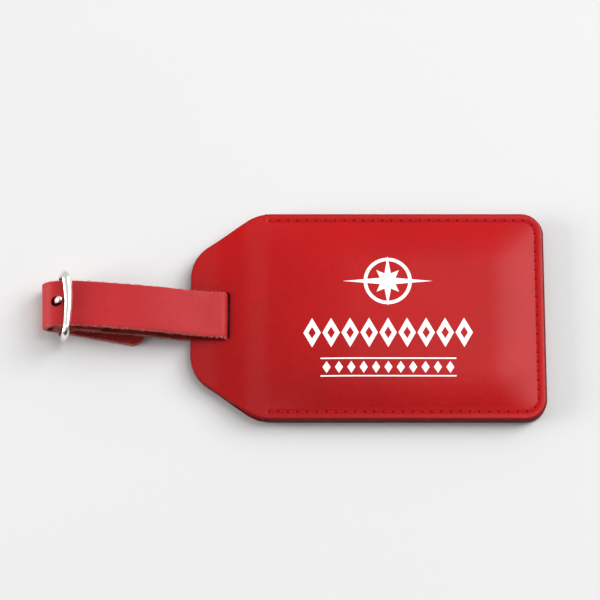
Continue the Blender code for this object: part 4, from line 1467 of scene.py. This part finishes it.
def make_prong(metal, front_z):
    buckle, strap = settings().buckle, settings().strap
    at = strap_places()
    hook_radius = buckle.bar + buckle.prong_gap + buckle.prong
    prong_x = at["heel_x"] - hook_radius
    top_x = prong_x + buckle.prong_lean
    front_x = at["heel_x"] + buckle.lean + buckle.bow - buckle.front_bar
    rest = front_x - 0.3 * MM - buckle.prong
    hook = arc(at["heel_x"], at["heel_z"], hook_radius, 75.0, -180.0, 24)
    shank = through(
        [
            hook[-2],
            hook[-1],
            (0.5 * (prong_x + top_x), 0.0, strap.upper_end - 1.0 * MM),
            (top_x, 0.0, strap.upper_end + at["half"] + 0.4 * MM),
            (0.5 * (top_x + rest), 0.0, front_z + 0.3 * MM),
            (rest + 0.3 * MM, 0.0, front_z + 1.0 * MM),
            (rest + 1.3 * MM, 0.0, front_z + 1.4 * MM),
        ],
        6,
    )
    path = [point + Vector((0.0, buckle.prong_shift, 0.0)) for point in hook[:-1] + shank]
    count = len(path)
    radii = []
    for index in range(count):
        left = min(1.0, (count - 1 - index) / 5)
        share = max(0.25, math.sqrt(1 - (1 - left) ** 2))
        radii.append((buckle.prong * share, buckle.prong_width * share))
    rings = tube_rings(path, radii, 16, [Vector((0.0, 1.0, 0.0))] * count)
    points = [laid(point) for ring in rings for point in ring]
    flat = [(row * 0.5 * MM / UV_SPAN, turn / 16 * 0.05) for row in range(count) for turn in range(16)]
    mesh = mesh_of("buckle_tongue", points, skin(rings), flat, sharp=80.0)
    made = add_piece("buckle_tongue", mesh, "prong", ["buckle_prong"], [metal])
    soften(made)


def soften(piece):
    smooth = piece.modifiers.new("smooth", "SUBSURF")
    smooth.levels = 1
    smooth.render_levels = 1


# Print


def foil_mesh(name, loops, lift=0.0):
    """Thin foil in the shape of closed outlines, laid on the domed leather; an outline inside
    another is a hole in it. A lift keeps it clear of the foil that it crosses."""
    foil = settings().print.foil
    loops = [finely(loop, 1.0 * MM) for loop in loops]
    points = np.concatenate([np.array(loop) for loop in loops])
    edges = []
    first = 0
    for loop in loops:
        size = len(loop)
        edges += [(first + index, first + (index + 1) % size) for index in range(size)]
        first += size
    low, high = points.min(axis=0), points.max(axis=0)
    grid = 1.2 * MM
    field = grid_points(low, high, grid)

    def printed(places):
        found = np.zeros(len(places), bool)
        for loop in loops:
            found ^= inside(places, np.array(loop))
        return found

    near = np.min([distance_to(field, np.array(loop))[0] for loop in loops], axis=0)
    field = field[printed(field) & (near > 0.3 * MM)]
    places = np.concatenate([points, field])
    solved = delaunay_2d_cdt([Vector(place) for place in places], edges, [], 0, 1e-8, False)
    flat = np.array([tuple(place) for place in solved[0]])
    triangles = np.array(solved[2])
    triangles = triangles[printed(flat[triangles].mean(axis=1))]
    used = np.unique(triangles)
    renumber = {old: new for new, old in enumerate(used)}
    flat = flat[used]
    triangles = [tuple(renumber[index] for index in face) for face in triangles]
    count = len(flat)
    height = flap_top(flat)
    upper = np.column_stack([flat, height + foil + lift])
    under = np.column_stack([flat, height - 0.15 * MM])
    faces = list(triangles) + [tuple(index + count for index in face[::-1]) for face in triangles]
    sides = {}
    for face in triangles:
        for start, end in zip(face, face[1:] + face[:1]):
            key = (min(start, end), max(start, end))
            sides[key] = None if key in sides else (start, end)
    for pair in sides.values():
        if pair is not None:
            start, end = pair
            faces.append((end, start, start + count, end + count))
    return mesh_of(name, np.concatenate([upper, under]), faces, np.concatenate([flat, flat]) / UV_SPAN)


def finely(loop, spacing):
    """The same outline with points added, so that the foil follows the dome along long edges."""
    points = []
    for start, end in zip(loop, loop[1:] + loop[:1]):
        steps = max(1, math.ceil(math.dist(start, end) / spacing))
        for step in range(steps):
            share = step / steps
            points.append((start[0] + (end[0] - start[0]) * share, start[1] + (end[1] - start[1]) * share))
    return points


def star_loop(centre, reaches, waist):
    """A pointed star: reaches are the lengths of its points, turned evenly from +X."""
    loop = []
    count = len(reaches)
    for index, reach in enumerate(reaches):
        angle = math.tau * index / count
        loop.append((centre[0] + reach * math.cos(angle), centre[1] + reach * math.sin(angle)))
        between = angle + math.pi / count
        loop.append((centre[0] + waist * math.cos(between), centre[1] + waist * math.sin(between)))
    return loop


def round_loop(centre, radius, steps):
    angles = [math.tau * step / steps for step in range(steps)]
    return [(centre[0] + radius * math.cos(angle), centre[1] + radius * math.sin(angle)) for angle in angles]


def lozenge(centre, half_width, half_height):
    x, y = centre
    return [(x - half_width, y), (x, y - half_height), (x + half_width, y), (x, y + half_height)]


def bar(left, right, low, high):
    return [(left, low), (right, low), (right, high), (left, high)]


def make_print():
    size = settings().print
    foil = white_foil()
    centre = (size.centre_x, 10.6 * MM)
    tall, wide = size.star_height / 2, size.star_width / 2
    short = 0.62 * tall
    star = star_loop(centre, [wide, short, tall, short, wide, short, tall, short], 0.33 * tall)
    mesh = foil_mesh("print_star", [star])
    add_piece("print_star", mesh, "flap", (), [foil])
    ring = [round_loop(centre, share * tall, 48) for share in (0.94, 0.80)]
    mesh = foil_mesh("print_ring", ring, 0.01 * MM)
    add_piece("print_ring", mesh, "flap", (), [foil])
    middle = -5.9 * MM
    count = 9
    step = size.row_width / count
    loops = []
    for index in range(count):
        x = size.centre_x + step * (index - (count - 1) / 2)
        outer = lozenge((x, middle), 0.46 * step, size.row_height / 2)
        inner = lozenge((x, middle), 0.2 * step, 0.2 * size.row_height)
        loops += [outer, inner]
    mesh = foil_mesh("print_lozenge_row", loops)
    add_piece("print_lozenge_row", mesh, "flap", (), [foil])
    middle = -16.9 * MM
    beads = 11
    step = size.rule_width / beads
    loops = []
    for index in range(beads):
        x = size.centre_x + step * (index - (beads - 1) / 2)
        loops.append(lozenge((x, middle), 0.33 * step, 1.9 * MM))
    left, right = size.centre_x - size.rule_width / 2, size.centre_x + size.rule_width / 2
    for y in (middle - 3.0 * MM, middle + 2.55 * MM):
        loops.append(bar(left, right, y, y + 0.45 * MM))
    mesh = foil_mesh("print_beaded_rule", loops)
    add_piece("print_beaded_rule", mesh, "flap", (), [foil])


# Stage


TABLE_REACH = 12.0
TABLE_SINK = 0.02 * MM
WORLD_STRENGTH = 0.58
DARK_SIDE = 0.12
LIT_POINT = (-0.02, 0.005, 0.005)
LENS = 154.0
CAMERA_AIM = Vector((-20.9 * MM, 5.1 * MM, 5.0 * MM))
CAMERA_DISTANCE = 0.80
CAMERA_ELEVATION = math.radians(75.0)


def area_light(name, place, size, power):
    """A rectangular softbox turned to the tag."""
    data = bpy.data.lights.new(name, "AREA")
    data.shape = "RECTANGLE"
    data.size, data.size_y = size
    data.energy = power
    made = bpy.data.objects.new(name, data)
    made.location = place
    made.rotation_euler = (Vector(LIT_POINT) - Vector(place)).to_track_quat("-Z", "Y").to_euler()
    bpy.context.scene.collection.objects.link(made)


def make_table():
    reach = TABLE_REACH
    corners = [(-reach, -reach), (reach, -reach), (reach, reach), (-reach, reach)]
    points = [(*corner, 0.0) for corner in corners]
    flat = [(x / UV_SPAN, y / UV_SPAN) for x, y in corners]
    mesh = mesh_of("table_top", points, [(0, 1, 2, 3)], flat)
    paint = Paint("table_top")
    cloud = paint.noise(0.6, 2.0)
    base = paint.mix(cloud.step(0.3, 0.7) * 0.2, settings().colours.floor, (0.66, 0.66, 0.66))
    mesh.materials.append(paint.finish(base, 0.75 + 0.05 * cloud))
    table = bpy.data.objects.new("table_top", mesh)
    table.location.z = -TABLE_SINK
    bpy.context.scene.collection.objects.link(table)


def make_world():
    """A white studio that darkens towards the near side, which the polished metal mirrors."""
    world = bpy.data.worlds.new("studio")
    world.use_nodes = True
    tree = world.node_tree
    backdrop = tree.nodes["Background"]
    backdrop.inputs["Strength"].default_value = WORLD_STRENGTH
    sky = tree.nodes.new("ShaderNodeTexCoord")
    split = tree.nodes.new("ShaderNodeSeparateXYZ")
    fade = tree.nodes.new("ShaderNodeMapRange")
    fade.inputs["From Min"].default_value = -0.75
    fade.inputs["From Max"].default_value = 0.15
    fade.inputs["To Min"].default_value = DARK_SIDE
    fade.inputs["To Max"].default_value = 1.0
    tree.links.new(sky.outputs["Generated"], split.inputs[0])
    tree.links.new(split.outputs["Y"], fade.inputs["Value"])
    tree.links.new(fade.outputs["Result"], backdrop.inputs["Color"])
    bpy.context.scene.world = world


def make_camera():
    scene = bpy.context.scene
    camera = bpy.data.cameras.new("camera")
    camera.lens = LENS
    camera.sensor_width = 36.0
    camera.clip_start = 0.05
    camera.clip_end = 40.0
    seen = bpy.data.objects.new("camera", camera)
    outward = Vector((0.0, -math.cos(CAMERA_ELEVATION), math.sin(CAMERA_ELEVATION)))
    seen.location = CAMERA_AIM + outward * CAMERA_DISTANCE
    seen.rotation_euler = (CAMERA_AIM - seen.location).to_track_quat("-Z", "Y").to_euler()
    scene.collection.objects.link(seen)
    scene.camera = seen
    scene.view_settings.view_transform = "Standard"
    scene.view_settings.look = "Medium High Contrast"


def make_stage():
    make_table()
    make_world()
    area_light("key", (1.45, 0.8, 1.15), (1.1, 1.1), 21.5)
    area_light("softbox", (0.66, 0.40, 1.78), (0.55, 0.9), 9.0)
    area_light("fill", (-1.6, -0.1, 0.55), (1.0, 0.8), 16.0)
    make_camera()


# Operators and panel


class TAG_OT_stage(bpy.types.Operator):
    """Builds the table, the lights and the camera."""

    bl_idname = "luggage_tag.stage"
    bl_label = "Stage"

    def execute(self, context):
        make_stage()
        return {"FINISHED"}


class TAG_OT_holder(bpy.types.Operator):
    """Builds the back leather, the window frame, the film and the card."""

    bl_idname = "luggage_tag.holder"
    bl_label = "Card holder"

    def execute(self, context):
        make_holder()
        return {"FINISHED"}


class TAG_OT_holder_seam(bpy.types.Operator):
    """Sews the card holder."""

    bl_idname = "luggage_tag.holder_seam"
    bl_label = "Holder seam"

    def execute(self, context):
        make_holder_seam()
        return {"FINISHED"}


class TAG_OT_flap_inside(bpy.types.Operator):
    """Builds the foam and the lining of the flap."""

    bl_idname = "luggage_tag.flap_inside"
    bl_label = "Flap inside"

    def execute(self, context):
        make_flap_inside()
        return {"FINISHED"}


class TAG_OT_flap(bpy.types.Operator):
    """Builds the padded leather of the flap and the neck."""

    bl_idname = "luggage_tag.flap"
    bl_label = "Flap"

    def execute(self, context):
        make_flap()
        return {"FINISHED"}


class TAG_OT_flap_seam(bpy.types.Operator):
    """Sews the flap."""

    bl_idname = "luggage_tag.flap_seam"
    bl_label = "Flap seam"

    def execute(self, context):
        make_flap_seam()
        return {"FINISHED"}


class TAG_OT_print(bpy.types.Operator):
    """Lays the white foil star and ornamental rows."""

    bl_idname = "luggage_tag.print"
    bl_label = "Print"

    def execute(self, context):
        make_print()
        return {"FINISHED"}


class TAG_OT_strap(bpy.types.Operator):
    """Builds the strap, its free end, stitches and fibres."""

    bl_idname = "luggage_tag.strap"
    bl_label = "Strap"

    def execute(self, context):
        make_strap()
        return {"FINISHED"}


class TAG_OT_buckle(bpy.types.Operator):
    """Builds the buckle frame and its prong."""

    bl_idname = "luggage_tag.buckle"
    bl_label = "Buckle"

    def execute(self, context):
        make_buckle()
        return {"FINISHED"}


OPERATORS = [
    TAG_OT_stage,
    TAG_OT_holder,
    TAG_OT_holder_seam,
    TAG_OT_flap_inside,
    TAG_OT_flap,
    TAG_OT_flap_seam,
    TAG_OT_print,
    TAG_OT_strap,
    TAG_OT_buckle,
]


class TAG_PT_panel(bpy.types.Panel):
    """Lists the steps that build the tag."""

    bl_label = "Luggage tag"
    bl_idname = "TAG_PT_panel"
    bl_space_type = "VIEW_3D"
    bl_region_type = "UI"
    bl_category = "Luggage tag"

    def draw(self, context):
        for step in OPERATORS:
            self.layout.operator(step.bl_idname)


GROUPS = [TagBodySizes, TagSeamSizes, TagStrapSizes, TagBuckleSizes, TagPrintSizes, TagColours, TagSettings]


def register():
    for made in GROUPS + OPERATORS + [TAG_PT_panel]:
        bpy.utils.register_class(made)
    bpy.types.Scene.luggage_tag = PointerProperty(type=TagSettings)


def unregister():
    del bpy.types.Scene.luggage_tag
    for made in reversed(GROUPS + OPERATORS + [TAG_PT_panel]):
        bpy.utils.unregister_class(made)


def main():
    register()
    bpy.ops.luggage_tag.stage()
    bpy.ops.luggage_tag.holder()
    bpy.ops.luggage_tag.holder_seam()
    bpy.ops.luggage_tag.flap_inside()
    bpy.ops.luggage_tag.flap()
    bpy.ops.luggage_tag.flap_seam()
    bpy.ops.luggage_tag.print()
    bpy.ops.luggage_tag.strap()
    bpy.ops.luggage_tag.buckle()


if __name__ == "__main__":
    main()
